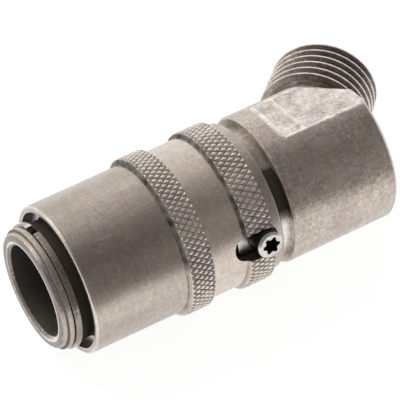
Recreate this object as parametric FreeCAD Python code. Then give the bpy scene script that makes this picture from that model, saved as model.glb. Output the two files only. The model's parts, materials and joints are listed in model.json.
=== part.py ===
"""Quick coupling socket with a 45 degree elbow: ball-locked plug bore, sliding sleeve, valve and male stud.

Every piece is drawn with the coupling's axis on X, the plug bore's mouth at x = 0 and the stud towards +Y.
The finished pieces are then rolled about X, so that the coupling lies as it comes to rest on a table.
"""
import FreeCAD, Part
import math
import os

os.makedirs("parts", exist_ok=True)
V = FreeCAD.Vector

# Driving dimensions, in millimetres and degrees

# Nose and plug bore
PLUG_BORE_R = 6.85            # guides the plug's collar
PLUG_BORE_LENGTH = 7.65       # guide wall in front of the balls
MOUTH_CHAMFER = 0.45
NOSE_WALL = 1.8               # rounded bead round the mouth
NOSE_ROUND = 0.55
NOSE_BEAD_LENGTH = 0.85
NOSE_COLLAR_STEP = 0.4        # collar in front of the snap ring, above the bead
NOSE_COLLAR_LENGTH = 0.9
RING_PROUD = 0.35             # snap ring, above the collar
RING_WIDTH = 0.95
RING_DEPTH = 1.15             # radial thickness of the snap ring
RING_GAP_DEG = 13.0
RING_GAP_TURN_DEG = 4.0       # middle of the split, from the top towards the stud

# Locking balls
BALL_COUNT = 8
BALL_R = 1.25
BALL_SEAT_DEPTH = 0.4         # a resting ball's centre stays this far outside the bore
BALL_PLAY = 0.05              # between a ball and its hole
BALL_LIFT_PLAY = 0.3          # between a resting ball and the sleeve's land
BALL_ZONE_RELIEF = 0.2        # bore round the balls, above the guide wall
BALL_ZONE_LEAD = 0.35         # from the guide wall to the ball holes
BALL_ZONE_TRAIL = 1.15        # from the ball holes to the seal groove

# Seal and valve seat inside the socket body
SEAL_GROOVE_LENGTH = 2.2
PLUG_SEAL_CORD_R = 0.9
PLUG_TIP_STEP = 0.65          # bore for the plug's slim tip, below the guide wall
SEAL_SQUEEZE = 0.35           # how far the seal stands into the tip bore
TIP_BORE_LENGTH = 2.2
THROAT_STEP = 1.6             # valve opening, below the tip bore
THROAT_LENGTH = 1.4
THROAT_ENTRY = 0.5            # chamfer at the throat's front edge
CHAMBER_WALL = 2.25           # round the valve chamber
TAIL_STEP = 0.95              # threaded tail, below the body, screwed into the elbow
TAIL_LENGTH = 6.0
TAIL_CHAMFER = 0.5

# Sliding sleeve
SLEEVE_RIM_GAP = 1.15         # from the snap ring's groove to the sleeve's front
FRONT_BAND_LENGTH = 15.0
KNURL_1_WIDTH = 3.45
MID_BAND_LENGTH = 6.0
KNURL_2_WIDTH = 3.9
REAR_BAND_LENGTH = 1.9
KNURL_FRONT_RUN = 0.4         # length of the sloped shoulder in front of a knurled band
KNURL_REAR_RUN = 0.25
SLEEVE_WALL = 1.0             # over the spring
SPRING_SPACE = 1.3            # between the socket body and the sleeve, for the spring
MID_BAND_STEP = 0.15          # middle band, above the front band
KNURL_HEIGHT = 0.85           # knurled bands, above the front band
SLEEVE_RIM_WALL = 0.9         # thin rim round the front recess
RIM_ROUND = 0.4
RECESS_DEPTH = 1.6
LIP_ROOM = 0.25               # between the guide lip and the balls when the sleeve is drawn back
RELEASE_ROOM = 0.25           # between the release groove and a freed ball
LAND_LEAD = 0.05              # land's front edge ahead of the ball centres
LAND_LENGTH = 3.3
SLEEVE_TRAVEL = 1.7
TRAVEL_ROOM = 0.1             # left between the sleeve and the elbow at the end of the travel
SLOT_PLAY = 0.15              # between the slot and the lock screw
SLOT_SPARE = 0.95             # slot length in front of the screw, beyond the travel

# Elbow
NECK_STEP = 0.3               # neck, below the spring's bore in the sleeve
NECK_LEAD = 3.6               # from the neck's front to the lock screw
ELBOW_LENGTH = 17.05
ELBOW_STEP = 0.05             # elbow, above the sleeve's front band
ELBOW_FRONT_CHAMFER = 0.3
ELBOW_REAR_CHAMFER = 0.45
FLAT_DEPTH = 1.2              # each of the two wrench flats, 20 mm across
FLAT_SETBACK = 2.85           # round collar left in front of the flats
FLAT_CUTTER_R = 1.4           # hollow left by the cutter at the front of a flat
EDGE_BREAK = 0.2              # chamfer along the flats and round the 45 degree face
CROSSING_SETBACK = 6.0        # from the elbow's front to where the stud's axis meets the coupling's
STUD_ANGLE_DEG = 45.0
SHOULDER_DISTANCE = 7.35      # 45 degree face, from the crossing along the stud
KNUCKLE_SETBACK = 3.4         # centre of the round knuckle under the stud, behind the crossing
KNUCKLE_INSET = 0.1           # knuckle radius, below the elbow's radius
GUIDE_SEAT = 1.9              # width of the step that the valve guide rests on
STEM_ROOM = 2.4               # behind the stem when the valve is open
DRILL_TIP_DEG = 118.0

# Stud with a 24 degree tube cone
STUD_R = 8.0                  # thread's outside radius, M16 x 1.5
STUD_ROOT = 11.8              # start of the undercut, from the crossing
UNDERCUT_LENGTH = 2.2
UNDERCUT_DEPTH = 1.05
UNDERCUT_SLOPE = 0.8          # sloped side of the undercut, next to the thread
THREAD_LENGTH = 7.5
STUD_CHAMFER = 0.8
TUBE_STEP = 3.0               # tube's radius, below the thread's: a 10 mm tube in this thread
TUBE_GAP = 0.05
TUBE_WALL = 1.0
TUBE_SOCKET_DEPTH = 7.0
TUBE_CONE_WALL = 1.85         # metal left round the cone's mouth
TUBE_CONE_DEG = 24.0

# Lock screw
SCREW_R = 2.0
SCREW_SETBACK = 3.1           # from the sleeve's rear end
SCREW_PROUD = 1.0             # face of the screw, above the knurl
SCREW_CHAMFER = 0.3
SOCKET_LOBE_R = 1.35          # six-lobe socket, tip radius
SOCKET_ROOT_R = 0.97
SOCKET_DEPTH = 1.6
SOCKET_LOBES = 6

# Valve
HEAD_OVERLAP = 0.9            # poppet's head, above the throat
POPPET_RIM = 1.5              # length of the head's cylindrical rim
POPPET_FLOW_GAP = 2.0         # between the poppet's nose and the throat
POPPET_REACH = 3.4            # poppet's nose, in front of the throat
STEM_R = 1.9
STEM_OVERRUN = 2.1            # stem behind the guide
SEAT_GAP = 0.1
POPPET_SEAL_LENGTH = 0.6
POPPET_SEAL_DEPTH = 0.6       # below the cone, at the front of its groove
POPPET_SEAL_PROUD = 0.05
VALVE_TRAVEL = 4.0
GUIDE_RIM_WALL = 1.35
GUIDE_RIM_LENGTH = 1.0
GUIDE_HUB_LENGTH = 2.6
GUIDE_ARMS = 3
GUIDE_ARM_WIDTH = 1.4

# Springs
SLEEVE_SPRING_WIRE_R = 0.45
SLEEVE_SPRING_TURNS = 4.5
VALVE_SPRING_WIRE_R = 0.4
VALVE_SPRING_GAP = 0.3        # between the coil and the stem
VALVE_SPRING_TURNS = 4.5
ARCS_PER_TURN = 2
WIRE_SIDES = 6

# Flat seal between the socket body and the elbow
BODY_SEAL_LENGTH = 0.8

# Clearances
SLIDE_GAP = 0.15              # sleeve on the socket body and on the neck
FIT_GAP = 0.05                # pieces of one body that sit in each other
STEM_GAP = 0.1

# Radii worked out from the plug bore outwards and inwards
NOSE_R = PLUG_BORE_R + NOSE_WALL
NOSE_COLLAR_R = NOSE_R + NOSE_COLLAR_STEP
RING_R = NOSE_COLLAR_R + RING_PROUD
RING_INNER_R = RING_R - RING_DEPTH
BALL_ZONE_R = PLUG_BORE_R + BALL_ZONE_RELIEF
BALL_HOLE_R = BALL_R + BALL_PLAY
BALL_REST_R = BALL_ZONE_R + BALL_SEAT_DEPTH
LAND_R = BALL_REST_R + BALL_R + BALL_LIFT_PLAY
RELEASE_R = PLUG_BORE_R + 2 * BALL_R + RELEASE_ROOM
BODY_R = LAND_R - SLIDE_GAP
CHAMBER_R = BODY_R - CHAMBER_WALL
TAIL_R = BODY_R - TAIL_STEP
PLUG_TIP_R = PLUG_BORE_R - PLUG_TIP_STEP
PLUG_SEAL_MEAN_R = PLUG_TIP_R - SEAL_SQUEEZE + PLUG_SEAL_CORD_R
SEAL_GROOVE_R = PLUG_SEAL_MEAN_R + PLUG_SEAL_CORD_R + FIT_GAP
THROAT_R = PLUG_TIP_R - THROAT_STEP
POPPET_HEAD_R = THROAT_R + HEAD_OVERLAP
POPPET_NOSE_R = THROAT_R - POPPET_FLOW_GAP
SPRING_BORE_R = BODY_R + SPRING_SPACE
SLEEVE_R = SPRING_BORE_R + SLEEVE_WALL
MID_BAND_R = SLEEVE_R + MID_BAND_STEP
KNURL_R = SLEEVE_R + KNURL_HEIGHT
SCREW_TOP = KNURL_R + SCREW_PROUD
SLOT_R = SCREW_R + SLOT_PLAY
NECK_R = SPRING_BORE_R - NECK_STEP
NECK_BORE_R = NECK_R + SLIDE_GAP
ELBOW_R = SLEEVE_R + ELBOW_STEP
ELBOW_CHAMBER_R = TAIL_R - GUIDE_SEAT
FLAT_HEIGHT = ELBOW_R - FLAT_DEPTH
UNDERCUT_R = STUD_R - UNDERCUT_DEPTH
TUBE_R = STUD_R - TUBE_STEP
TUBE_SOCKET_R = TUBE_R + TUBE_GAP
TUBE_CONE_R = STUD_R - TUBE_CONE_WALL
FLOW_R = TUBE_R - TUBE_WALL
GUIDE_RIM_R = TAIL_R - FIT_GAP
VALVE_SPRING_R = STEM_R + VALVE_SPRING_GAP + VALVE_SPRING_WIRE_R
GUIDE_HUB_R = VALVE_SPRING_R + VALVE_SPRING_WIRE_R

# Stations along the axis, from the mouth to the rear
RING_GROOVE_START = NOSE_BEAD_LENGTH + NOSE_COLLAR_LENGTH
RING_START = RING_GROOVE_START + FIT_GAP
RING_GROOVE_END = RING_START + RING_WIDTH + FIT_GAP
PLUG_BORE_END = MOUTH_CHAMFER + PLUG_BORE_LENGTH
BALL_X = PLUG_BORE_END + BALL_ZONE_LEAD + BALL_HOLE_R
SEAL_GROOVE_START = BALL_X + BALL_HOLE_R + BALL_ZONE_TRAIL
SEAL_GROOVE_END = SEAL_GROOVE_START + SEAL_GROOVE_LENGTH
TIP_BORE_END = SEAL_GROOVE_END + TIP_BORE_LENGTH
SEAT_START = TIP_BORE_END + THROAT_LENGTH
SEAT_END = SEAT_START + CHAMBER_R - THROAT_R
POPPET_NOSE_X = TIP_BORE_END - POPPET_REACH
SLEEVE_FRONT = RING_GROOVE_END + SLEEVE_RIM_GAP
RECESS_END = SLEEVE_FRONT + RECESS_DEPTH
LIP_END = BALL_X - BALL_R - LIP_ROOM - SLEEVE_TRAVEL
LAND_START = BALL_X - LAND_LEAD
LAND_END = LAND_START + LAND_LENGTH
KNURL_1_START = SLEEVE_FRONT + FRONT_BAND_LENGTH
KNURL_1_END = KNURL_1_START + KNURL_1_WIDTH
KNURL_2_START = KNURL_1_END + MID_BAND_LENGTH
KNURL_2_END = KNURL_2_START + KNURL_2_WIDTH
SLEEVE_REAR = KNURL_2_END + REAR_BAND_LENGTH
SCREW_X = SLEEVE_REAR - SCREW_SETBACK
SLOT_FRONT_X = SCREW_X - SLEEVE_TRAVEL - SLOT_SPARE
NECK_START = SCREW_X - NECK_LEAD
NECK_BORE_START = NECK_START - SLEEVE_TRAVEL
TAIL_END = NECK_START + TAIL_LENGTH
GUIDE_END = TAIL_END + GUIDE_RIM_LENGTH
GUIDE_HUB_START = GUIDE_END - GUIDE_HUB_LENGTH
STEM_END = GUIDE_END + STEM_OVERRUN
ELBOW_CHAMBER_END = STEM_END + VALVE_TRAVEL + STEM_ROOM
ELBOW_FRONT = SLEEVE_REAR + SLEEVE_TRAVEL + TRAVEL_ROOM
FLAT_START = ELBOW_FRONT + FLAT_SETBACK
CROSSING_X = ELBOW_FRONT + CROSSING_SETBACK
KNUCKLE_X = CROSSING_X + KNUCKLE_SETBACK
ELBOW_REAR = ELBOW_FRONT + ELBOW_LENGTH

# Stations along the stud, from the crossing outwards
UNDERCUT_END = STUD_ROOT + UNDERCUT_LENGTH
THREAD_END = UNDERCUT_END + THREAD_LENGTH
STUD_END = THREAD_END + STUD_CHAMFER
TUBE_CONE_DEPTH = (TUBE_CONE_R - TUBE_SOCKET_R) / math.tan(math.radians(TUBE_CONE_DEG / 2))
TUBE_SOCKET_END = STUD_END - TUBE_CONE_DEPTH
TUBE_SOCKET_START = TUBE_SOCKET_END - TUBE_SOCKET_DEPTH

# Directions
AXIS = V(1, 0, 0)
SCREW_SIDE = V(0, -1, 0)
STUD_SLOPE = math.radians(STUD_ANGLE_DEG)
STUD_AXIS = V(math.cos(STUD_SLOPE), math.sin(STUD_SLOPE), 0)
CROSSING = V(CROSSING_X, 0, 0)
BIG = 4 * ELBOW_REAR          # reaches past the whole coupling


def resting_roll():
    """Angle about the axis at which the stud's end edge touches the table under the knurled bands."""
    reach = THREAD_END * math.sin(STUD_SLOPE)
    edge = STUD_R * math.sin(STUD_SLOPE)
    a = reach ** 2 + edge ** 2
    b = KNURL_R * reach
    c = KNURL_R ** 2 - STUD_R ** 2
    return math.degrees(math.asin((b - math.sqrt(b * b - a * c)) / a))


def outline(points):
    """Closed face in the XZ plane; a step is a corner (x, r), or a middle and an end point for an arc."""
    edges = []
    here = V(points[0][0], 0, points[0][1])
    for step in points[1:] + points[:1]:
        if len(step) == 2:
            there = V(step[0], 0, step[1])
            edges.append(Part.makeLine(here, there))
        else:
            there = V(step[2], 0, step[3])
            edges.append(Part.Arc(here, V(step[0], 0, step[1]), there).toShape())
        here = there
    return Part.Face(Part.Wire(edges))


def turned(points, base=V(0, 0, 0), axis=AXIS):
    """Turned piece: an outline of stations and radii, revolved about X or stood on another axis."""
    piece = outline(points).revolve(V(0, 0, 0), AXIS, 360)
    turn = FreeCAD.Rotation(AXIS, axis)
    piece.Placement = FreeCAD.Placement(base, turn)
    return piece


def rod(radius, start, end, base=V(0, 0, 0), axis=AXIS):
    """Round bar from one station to another along an axis."""
    return Part.makeCylinder(radius, end - start, base + axis * start, axis)


def tube(inner_r, outer_r, start, end):
    return rod(outer_r, start, end).cut(rod(inner_r, start, end))


def round_corner(x, r, size, x_side, r_side):
    """Arc step that rounds a convex corner at (x, r); the sides say where the metal lies."""
    lean = size * (1 - math.sqrt(0.5))
    return (x + x_side * lean, r + r_side * lean)


def radial(turn_deg):
    """Direction square to the axis, counted from the top towards the stud."""
    turn = math.radians(turn_deg)
    return V(0, math.sin(turn), math.cos(turn))


def ball_directions():
    step = 360.0 / BALL_COUNT
    return [radial(step * (i + 0.5)) for i in range(BALL_COUNT)]


def ball_hole(direction):
    """Radial hole with a tapered inner end, narrower than the ball, which keeps it out of the bore."""
    taper = math.asin(BALL_SEAT_DEPTH / BALL_HOLE_R)
    taper_start = BALL_REST_R - BALL_HOLE_R * math.tan(taper / 2)
    taper_depth = BALL_HOLE_R
    tip_r = BALL_HOLE_R - taper_depth * math.tan(taper)
    return turned([
        (taper_start - taper_depth, 0),
        (taper_start - taper_depth, tip_r),
        (taper_start, BALL_HOLE_R),
        (LAND_R, BALL_HOLE_R),
        (LAND_R, 0),
    ], V(BALL_X, 0, 0), direction)


def socket_body():
    round_mid = round_corner(0, NOSE_R, NOSE_ROUND, 1, -1)
    body = turned([
        (MOUTH_CHAMFER, PLUG_BORE_R),
        (0, PLUG_BORE_R + MOUTH_CHAMFER),
        (0, NOSE_R - NOSE_ROUND),
        (*round_mid, NOSE_ROUND, NOSE_R),
        (NOSE_BEAD_LENGTH, NOSE_R),
        (NOSE_BEAD_LENGTH, NOSE_COLLAR_R),
        (RING_GROOVE_START, NOSE_COLLAR_R),
        (RING_GROOVE_START, RING_INNER_R - FIT_GAP),
        (RING_GROOVE_END, RING_INNER_R - FIT_GAP),
        (RING_GROOVE_END, BODY_R),
        (NECK_START, BODY_R),
        (NECK_START, TAIL_R),
        (TAIL_END - TAIL_CHAMFER, TAIL_R),
        (TAIL_END, TAIL_R - TAIL_CHAMFER),
        (TAIL_END, CHAMBER_R),
        (SEAT_END, CHAMBER_R),
        (SEAT_START, THROAT_R),
        (TIP_BORE_END + THROAT_ENTRY, THROAT_R),
        (TIP_BORE_END, THROAT_R + THROAT_ENTRY),
        (TIP_BORE_END, PLUG_TIP_R),
        (SEAL_GROOVE_END, PLUG_TIP_R),
        (SEAL_GROOVE_END, SEAL_GROOVE_R),
        (SEAL_GROOVE_START, SEAL_GROOVE_R),
        (SEAL_GROOVE_START, BALL_ZONE_R),
        (PLUG_BORE_END, BALL_ZONE_R),
        (PLUG_BORE_END, PLUG_BORE_R),
    ])
    for direction in ball_directions():
        body = body.cut(ball_hole(direction))
    return body


def locking_sleeve():
    recess_r = SLEEVE_R - SLEEVE_RIM_WALL
    rim_mid = round_corner(SLEEVE_FRONT, SLEEVE_R, RIM_ROUND, 1, -1)
    sleeve = turned([
        (SLEEVE_FRONT, recess_r),
        (SLEEVE_FRONT, SLEEVE_R - RIM_ROUND),
        (*rim_mid, SLEEVE_FRONT + RIM_ROUND, SLEEVE_R),
        (KNURL_1_START - KNURL_FRONT_RUN, SLEEVE_R),
        (KNURL_1_START, KNURL_R),
        (KNURL_1_END, KNURL_R),
        (KNURL_1_END + KNURL_REAR_RUN, MID_BAND_R),
        (KNURL_2_START - KNURL_FRONT_RUN, MID_BAND_R),
        (KNURL_2_START, KNURL_R),
        (KNURL_2_END, KNURL_R),
        (KNURL_2_END + KNURL_REAR_RUN, SLEEVE_R),
        (SLEEVE_REAR - RIM_ROUND, SLEEVE_R),
        (SLEEVE_REAR, SLEEVE_R - RIM_ROUND),
        (SLEEVE_REAR, NECK_BORE_R),
        (NECK_BORE_START, NECK_BORE_R),
        (NECK_BORE_START - (SPRING_BORE_R - NECK_BORE_R), SPRING_BORE_R),
        (LAND_END, SPRING_BORE_R),
        (LAND_END, LAND_R),
        (LAND_START, LAND_R),
        (LAND_START - (RELEASE_R - LAND_R), RELEASE_R),
        (LIP_END, RELEASE_R),
        (LIP_END, LAND_R),
        (RECESS_END, LAND_R),
        (RECESS_END, recess_r),
    ])
    return sleeve.cut(screw_slot())


def screw_slot():
    """Lengthways slot through the sleeve's wall, with its rear end round the lock screw."""
    front = rod(SLOT_R, 0, BIG, V(SLOT_FRONT_X, 0, 0), SCREW_SIDE)
    rear = rod(SLOT_R, 0, BIG, V(SCREW_X, 0, 0), SCREW_SIDE)
    middle = Part.makeBox(SCREW_X - SLOT_FRONT_X, BIG, 2 * SLOT_R, V(SLOT_FRONT_X, -BIG, -SLOT_R))
    return middle.fuse([front, rear])


def snap_ring():
    """Flat wire ring, split near the top with ends cut square."""
    ring = tube(RING_INNER_R, RING_R, RING_START, RING_START + RING_WIDTH)
    first = radial(RING_GAP_TURN_DEG - RING_GAP_DEG / 2) * BIG
    last = radial(RING_GAP_TURN_DEG + RING_GAP_DEG / 2) * BIG
    wedge = Part.Face(Part.makePolygon([V(0, 0, 0), first, last, V(0, 0, 0)]))
    return ring.cut(wedge.extrude(AXIS * NECK_START))


def beyond_plane(base, normal):
    """Everything on the far side of a plane."""
    block = Part.makeBox(BIG, BIG, BIG, V(0, -BIG / 2, -BIG / 2))
    block.Placement = FreeCAD.Placement(base, FreeCAD.Rotation(AXIS, normal))
    return block


def on_shoulder(edge):
    """True for an edge of the 45 degree face."""
    distances = [(v.Point - CROSSING).dot(STUD_AXIS) for v in edge.Vertexes]
    return all(abs(d - SHOULDER_DISTANCE) < 1e-6 for d in distances)


def beside_flat(edge):
    """True for a straight edge between a wrench flat and the round bar."""
    run = edge.Vertexes[-1].Point - edge.Vertexes[0].Point
    lengthways = run.Length > 1e-6 and run.Length - abs(run.x) < 1e-6
    return lengthways and abs(abs(edge.Vertexes[0].Z) - FLAT_HEIGHT) < 1e-6


def elbow_outside():
    """Neck and round bar with two flats, cut back at 45 degrees for the stud, with a knuckle under it."""
    bar = turned([
        (NECK_START, 0),
        (NECK_START, NECK_R),
        (ELBOW_FRONT, NECK_R),
        (ELBOW_FRONT, ELBOW_R - ELBOW_FRONT_CHAMFER),
        (ELBOW_FRONT + ELBOW_FRONT_CHAMFER, ELBOW_R),
        (ELBOW_REAR - ELBOW_REAR_CHAMFER, ELBOW_R),
        (ELBOW_REAR, ELBOW_R - ELBOW_REAR_CHAMFER),
        (ELBOW_REAR, 0),
    ])
    flats = [wrench_flat(1), wrench_flat(-1)]
    bar = bar.cut(flats + [beyond_plane(CROSSING + STUD_AXIS * SHOULDER_DISTANCE, STUD_AXIS)])
    bar = bar.removeSplitter()
    bar = bar.makeChamfer(EDGE_BREAK, [e for e in bar.Edges if on_shoulder(e) or beside_flat(e)])
    knuckle = Part.makeSphere(ELBOW_R - KNUCKLE_INSET, V(KNUCKLE_X, 0, 0))
    return bar.fuse(knuckle.cut(flats + [beyond_plane(V(ELBOW_REAR, 0, 0), AXIS)]))


def wrench_flat(side):
    """Cutter path for one flat: a block with a rounded lower front edge."""
    block = Part.makeBox(BIG, BIG, BIG, V(FLAT_START, -BIG / 2, FLAT_HEIGHT))
    low_front = [e for e in block.Edges
                 if all(abs(v.X - FLAT_START) < 1e-6 and abs(v.Z - FLAT_HEIGHT) < 1e-6 for v in e.Vertexes)]
    block = block.makeFillet(FLAT_CUTTER_R, low_front)
    if side < 0:
        block.rotate(V(0, 0, 0), AXIS, 180)
    return block


def stud():
    """Threaded stud with an undercut at its root, from the crossing outwards."""
    return turned([
        (0, 0),
        (0, UNDERCUT_R),
        (UNDERCUT_END - UNDERCUT_SLOPE, UNDERCUT_R),
        (UNDERCUT_END, STUD_R),
        (THREAD_END, STUD_R),
        (STUD_END, STUD_R - STUD_CHAMFER),
        (STUD_END, 0),
    ], CROSSING, STUD_AXIS)


def undercut_clearance():
    """Ring turned away round the stud's root, so that the undercut is open all round."""
    outer = rod(ELBOW_R, STUD_ROOT, STUD_END, CROSSING, STUD_AXIS)
    return outer.cut(rod(UNDERCUT_R, STUD_ROOT, STUD_END, CROSSING, STUD_AXIS))


def stud_bore():
    """Flow bore, tube socket and 24 degree cone, drilled from the stud's end."""
    return turned([
        (0, 0),
        (0, FLOW_R),
        (TUBE_SOCKET_START, FLOW_R),
        (TUBE_SOCKET_START, TUBE_SOCKET_R),
        (TUBE_SOCKET_END, TUBE_SOCKET_R),
        (STUD_END, TUBE_CONE_R),
        (STUD_END + STUD_CHAMFER, TUBE_CONE_R),
        (STUD_END + STUD_CHAMFER, 0),
    ], CROSSING, STUD_AXIS)


def elbow_bore():
    """Stepped bore from the front: flat seal's seat, thread for the socket body, guide's seat, chamber."""
    tip = ELBOW_CHAMBER_R / math.tan(math.radians(DRILL_TIP_DEG / 2))
    seal_end = NECK_START + BODY_SEAL_LENGTH
    return turned([
        (NECK_START - FIT_GAP, 0),
        (NECK_START - FIT_GAP, BODY_R + FIT_GAP),
        (seal_end, BODY_R + FIT_GAP),
        (seal_end, TAIL_R + FIT_GAP),
        (GUIDE_END, TAIL_R + FIT_GAP),
        (GUIDE_END, ELBOW_CHAMBER_R),
        (ELBOW_CHAMBER_END, ELBOW_CHAMBER_R),
        (ELBOW_CHAMBER_END + tip, 0),
    ])


def elbow_body():
    elbow = elbow_outside()
    elbow = elbow.cut(undercut_clearance())
    elbow = elbow.fuse(stud())
    screw_hole = rod(SCREW_R + FIT_GAP, 0, BIG, V(SCREW_X, 0, 0), SCREW_SIDE)
    return elbow.cut([elbow_bore(), stud_bore(), screw_hole]).removeSplitter()


def six_lobe_socket():
    """Closed wire of the screw's socket: round tips joined by hollow flanks, each an arc."""
    step = 2 * math.pi / SOCKET_LOBES
    corner_r = (SOCKET_LOBE_R + SOCKET_ROOT_R) / 2

    def at(radius, turn):
        return V(radius * math.cos(turn), 0, radius * math.sin(turn))

    edges = []
    for i in range(SOCKET_LOBES):
        turn = i * step
        edges.append(Part.Arc(at(corner_r, turn - step / 4), at(SOCKET_LOBE_R, turn),
                              at(corner_r, turn + step / 4)).toShape())
        edges.append(Part.Arc(at(corner_r, turn + step / 4), at(SOCKET_ROOT_R, turn + step / 2),
                              at(corner_r, turn + 3 * step / 4)).toShape())
    return Part.Wire(edges)


def lock_screw():
    """Set screw in the neck: its plain head end stands in the sleeve's slot and above the knurl."""
    inner_end = TAIL_R + FIT_GAP
    screw = turned([
        (inner_end, 0),
        (inner_end, SCREW_R - SCREW_CHAMFER),
        (inner_end + SCREW_CHAMFER, SCREW_R),
        (SCREW_TOP - SCREW_CHAMFER, SCREW_R),
        (SCREW_TOP, SCREW_R - SCREW_CHAMFER),
        (SCREW_TOP, 0),
    ], V(SCREW_X, 0, 0), SCREW_SIDE)
    socket = Part.Face(six_lobe_socket()).extrude(SCREW_SIDE * -SOCKET_DEPTH)
    socket.translate(V(SCREW_X, 0, 0) + SCREW_SIDE * SCREW_TOP)
    return screw.cut(socket)


def plug_seal():
    """Ring seal in its groove in the plug bore, a little proud of the tip bore."""
    middle = (SEAL_GROOVE_START + SEAL_GROOVE_END) / 2
    return Part.makeTorus(PLUG_SEAL_MEAN_R, PLUG_SEAL_CORD_R, V(middle, 0, 0), AXIS)


def body_seal():
    """Flat ring on the elbow's front step, pressed by the socket body's shoulder."""
    return tube(TAIL_R + FIT_GAP, BODY_R, NECK_START, NECK_START + BODY_SEAL_LENGTH)


def poppet_cone_r(station):
    """Radius of the poppet's cone, which lies inside the valve seat's cone by the seat gap."""
    return THROAT_R + station - SEAT_START - SEAT_GAP * math.sqrt(2)


def poppet_cone_end():
    return SEAT_START + POPPET_HEAD_R - THROAT_R + SEAT_GAP * math.sqrt(2)


def poppet_rear():
    return poppet_cone_end() + POPPET_RIM


def poppet_groove():
    """Front and rear stations and bottom radius of the seal groove in the middle of the cone."""
    middle = (SEAT_START + poppet_cone_end()) / 2
    front = middle - POPPET_SEAL_LENGTH / 2
    return front, middle + POPPET_SEAL_LENGTH / 2, poppet_cone_r(front) - POPPET_SEAL_DEPTH


def valve_poppet():
    front, rear, bottom_r = poppet_groove()
    tip_round = POPPET_NOSE_R / 2
    tip_mid = round_corner(POPPET_NOSE_X, POPPET_NOSE_R, tip_round, 1, -1)
    return turned([
        (POPPET_NOSE_X, 0),
        (POPPET_NOSE_X, POPPET_NOSE_R - tip_round),
        (*tip_mid, POPPET_NOSE_X + tip_round, POPPET_NOSE_R),
        (TIP_BORE_END, POPPET_NOSE_R),
        (SEAT_START, poppet_cone_r(SEAT_START)),
        (front, poppet_cone_r(front)),
        (front, bottom_r),
        (rear, bottom_r),
        (rear, poppet_cone_r(rear)),
        (poppet_cone_end(), POPPET_HEAD_R),
        (poppet_rear(), POPPET_HEAD_R),
        (poppet_rear(), STEM_R),
        (STEM_END, STEM_R),
        (STEM_END, 0),
    ])


def poppet_seal():
    """Ring with a sloped face that stands a little proud of the poppet's cone."""
    front, rear, bottom_r = poppet_groove()
    front += FIT_GAP
    rear -= FIT_GAP
    proud = POPPET_SEAL_PROUD * math.sqrt(2)
    return turned([
        (front, bottom_r + FIT_GAP),
        (front, poppet_cone_r(front) + proud),
        (rear, poppet_cone_r(rear) + proud),
        (rear, bottom_r + FIT_GAP),
    ])


def valve_guide():
    """Rim clamped behind the socket body's tail, arms, and a hub that the poppet's stem slides in."""
    rim_inner_r = GUIDE_RIM_R - GUIDE_RIM_WALL
    rim = tube(rim_inner_r, GUIDE_RIM_R, TAIL_END, GUIDE_END)
    hub = rod(GUIDE_HUB_R, GUIDE_HUB_START, GUIDE_END)
    arms = []
    for i in range(GUIDE_ARMS):
        arm = Part.makeBox(GUIDE_RIM_LENGTH, GUIDE_ARM_WIDTH, (rim_inner_r + GUIDE_RIM_R) / 2,
                           V(TAIL_END, -GUIDE_ARM_WIDTH / 2, 0))
        arm.rotate(V(0, 0, 0), AXIS, 360.0 * i / GUIDE_ARMS)
        arms.append(arm)
    guide = rim.fuse([hub] + arms)
    return guide.cut(rod(STEM_R + STEM_GAP, 0, STEM_END)).removeSplitter()


def wire_section(radius, centre, run):
    """Many-sided outline of a spring's wire, square to the direction that the wire runs in."""
    side = run.cross(AXIS).normalize()
    up = run.cross(side).normalize()
    corners = []
    for i in range(WIRE_SIDES + 1):
        turn = 2 * math.pi * i / WIRE_SIDES
        corners.append(centre + side * (radius * math.cos(turn)) + up * (radius * math.sin(turn)))
    return Part.makePolygon(corners)


def coil_spring(wire_r, mean_r, start, end, turns):
    """Wire coil between two flat seats, swept along half turns that lean to make the coil rise."""
    rise = end - start - 2 * wire_r
    arcs = round(turns * ARCS_PER_TURN)

    def at(part_of_coil):
        turn = 2 * math.pi * turns * part_of_coil
        return V(start + wire_r + rise * part_of_coil, mean_r * math.cos(turn), mean_r * math.sin(turn))

    edges = []
    for i in range(arcs):
        edges.append(Part.Arc(at(i / arcs), at((i + 0.5) / arcs), at((i + 1) / arcs)).toShape())
    first_run = edges[0].tangentAt(edges[0].FirstParameter)
    section = wire_section(wire_r, at(0), first_run)
    return Part.Wire(edges).makePipeShell([section], True, False, 0)


def sleeve_spring():
    mean_r = (BODY_R + SPRING_BORE_R) / 2
    return coil_spring(SLEEVE_SPRING_WIRE_R, mean_r, LAND_END, NECK_START, SLEEVE_SPRING_TURNS)


def valve_spring():
    return coil_spring(VALVE_SPRING_WIRE_R, VALVE_SPRING_R, poppet_rear(), GUIDE_HUB_START,
                       VALVE_SPRING_TURNS)


def all_pieces():
    pieces = {
        "socket_body": socket_body(),
        "elbow_body": elbow_body(),
        "locking_sleeve": locking_sleeve(),
        "lock_screw": lock_screw(),
        "snap_ring": snap_ring(),
        "sleeve_spring": sleeve_spring(),
        "plug_seal": plug_seal(),
        "valve_poppet": valve_poppet(),
        "poppet_seal": poppet_seal(),
        "valve_spring": valve_spring(),
        "valve_guide": valve_guide(),
        "body_seal": body_seal(),
    }
    for i, direction in enumerate(ball_directions()):
        centre = V(BALL_X, 0, 0) + direction * BALL_REST_R
        pieces["locking_ball_%d" % (i + 1)] = Part.makeSphere(BALL_R, centre)
    return pieces


roll = resting_roll()
for name, piece in all_pieces().items():
    piece.rotate(V(0, 0, 0), AXIS, -roll)
    piece.exportStep("parts/%s.step" % name)
    print(name, "solids", len(piece.Solids), "valid", piece.isValid(), "volume %.2f" % piece.Volume)
print("roll %.3f degrees" % roll)
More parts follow.
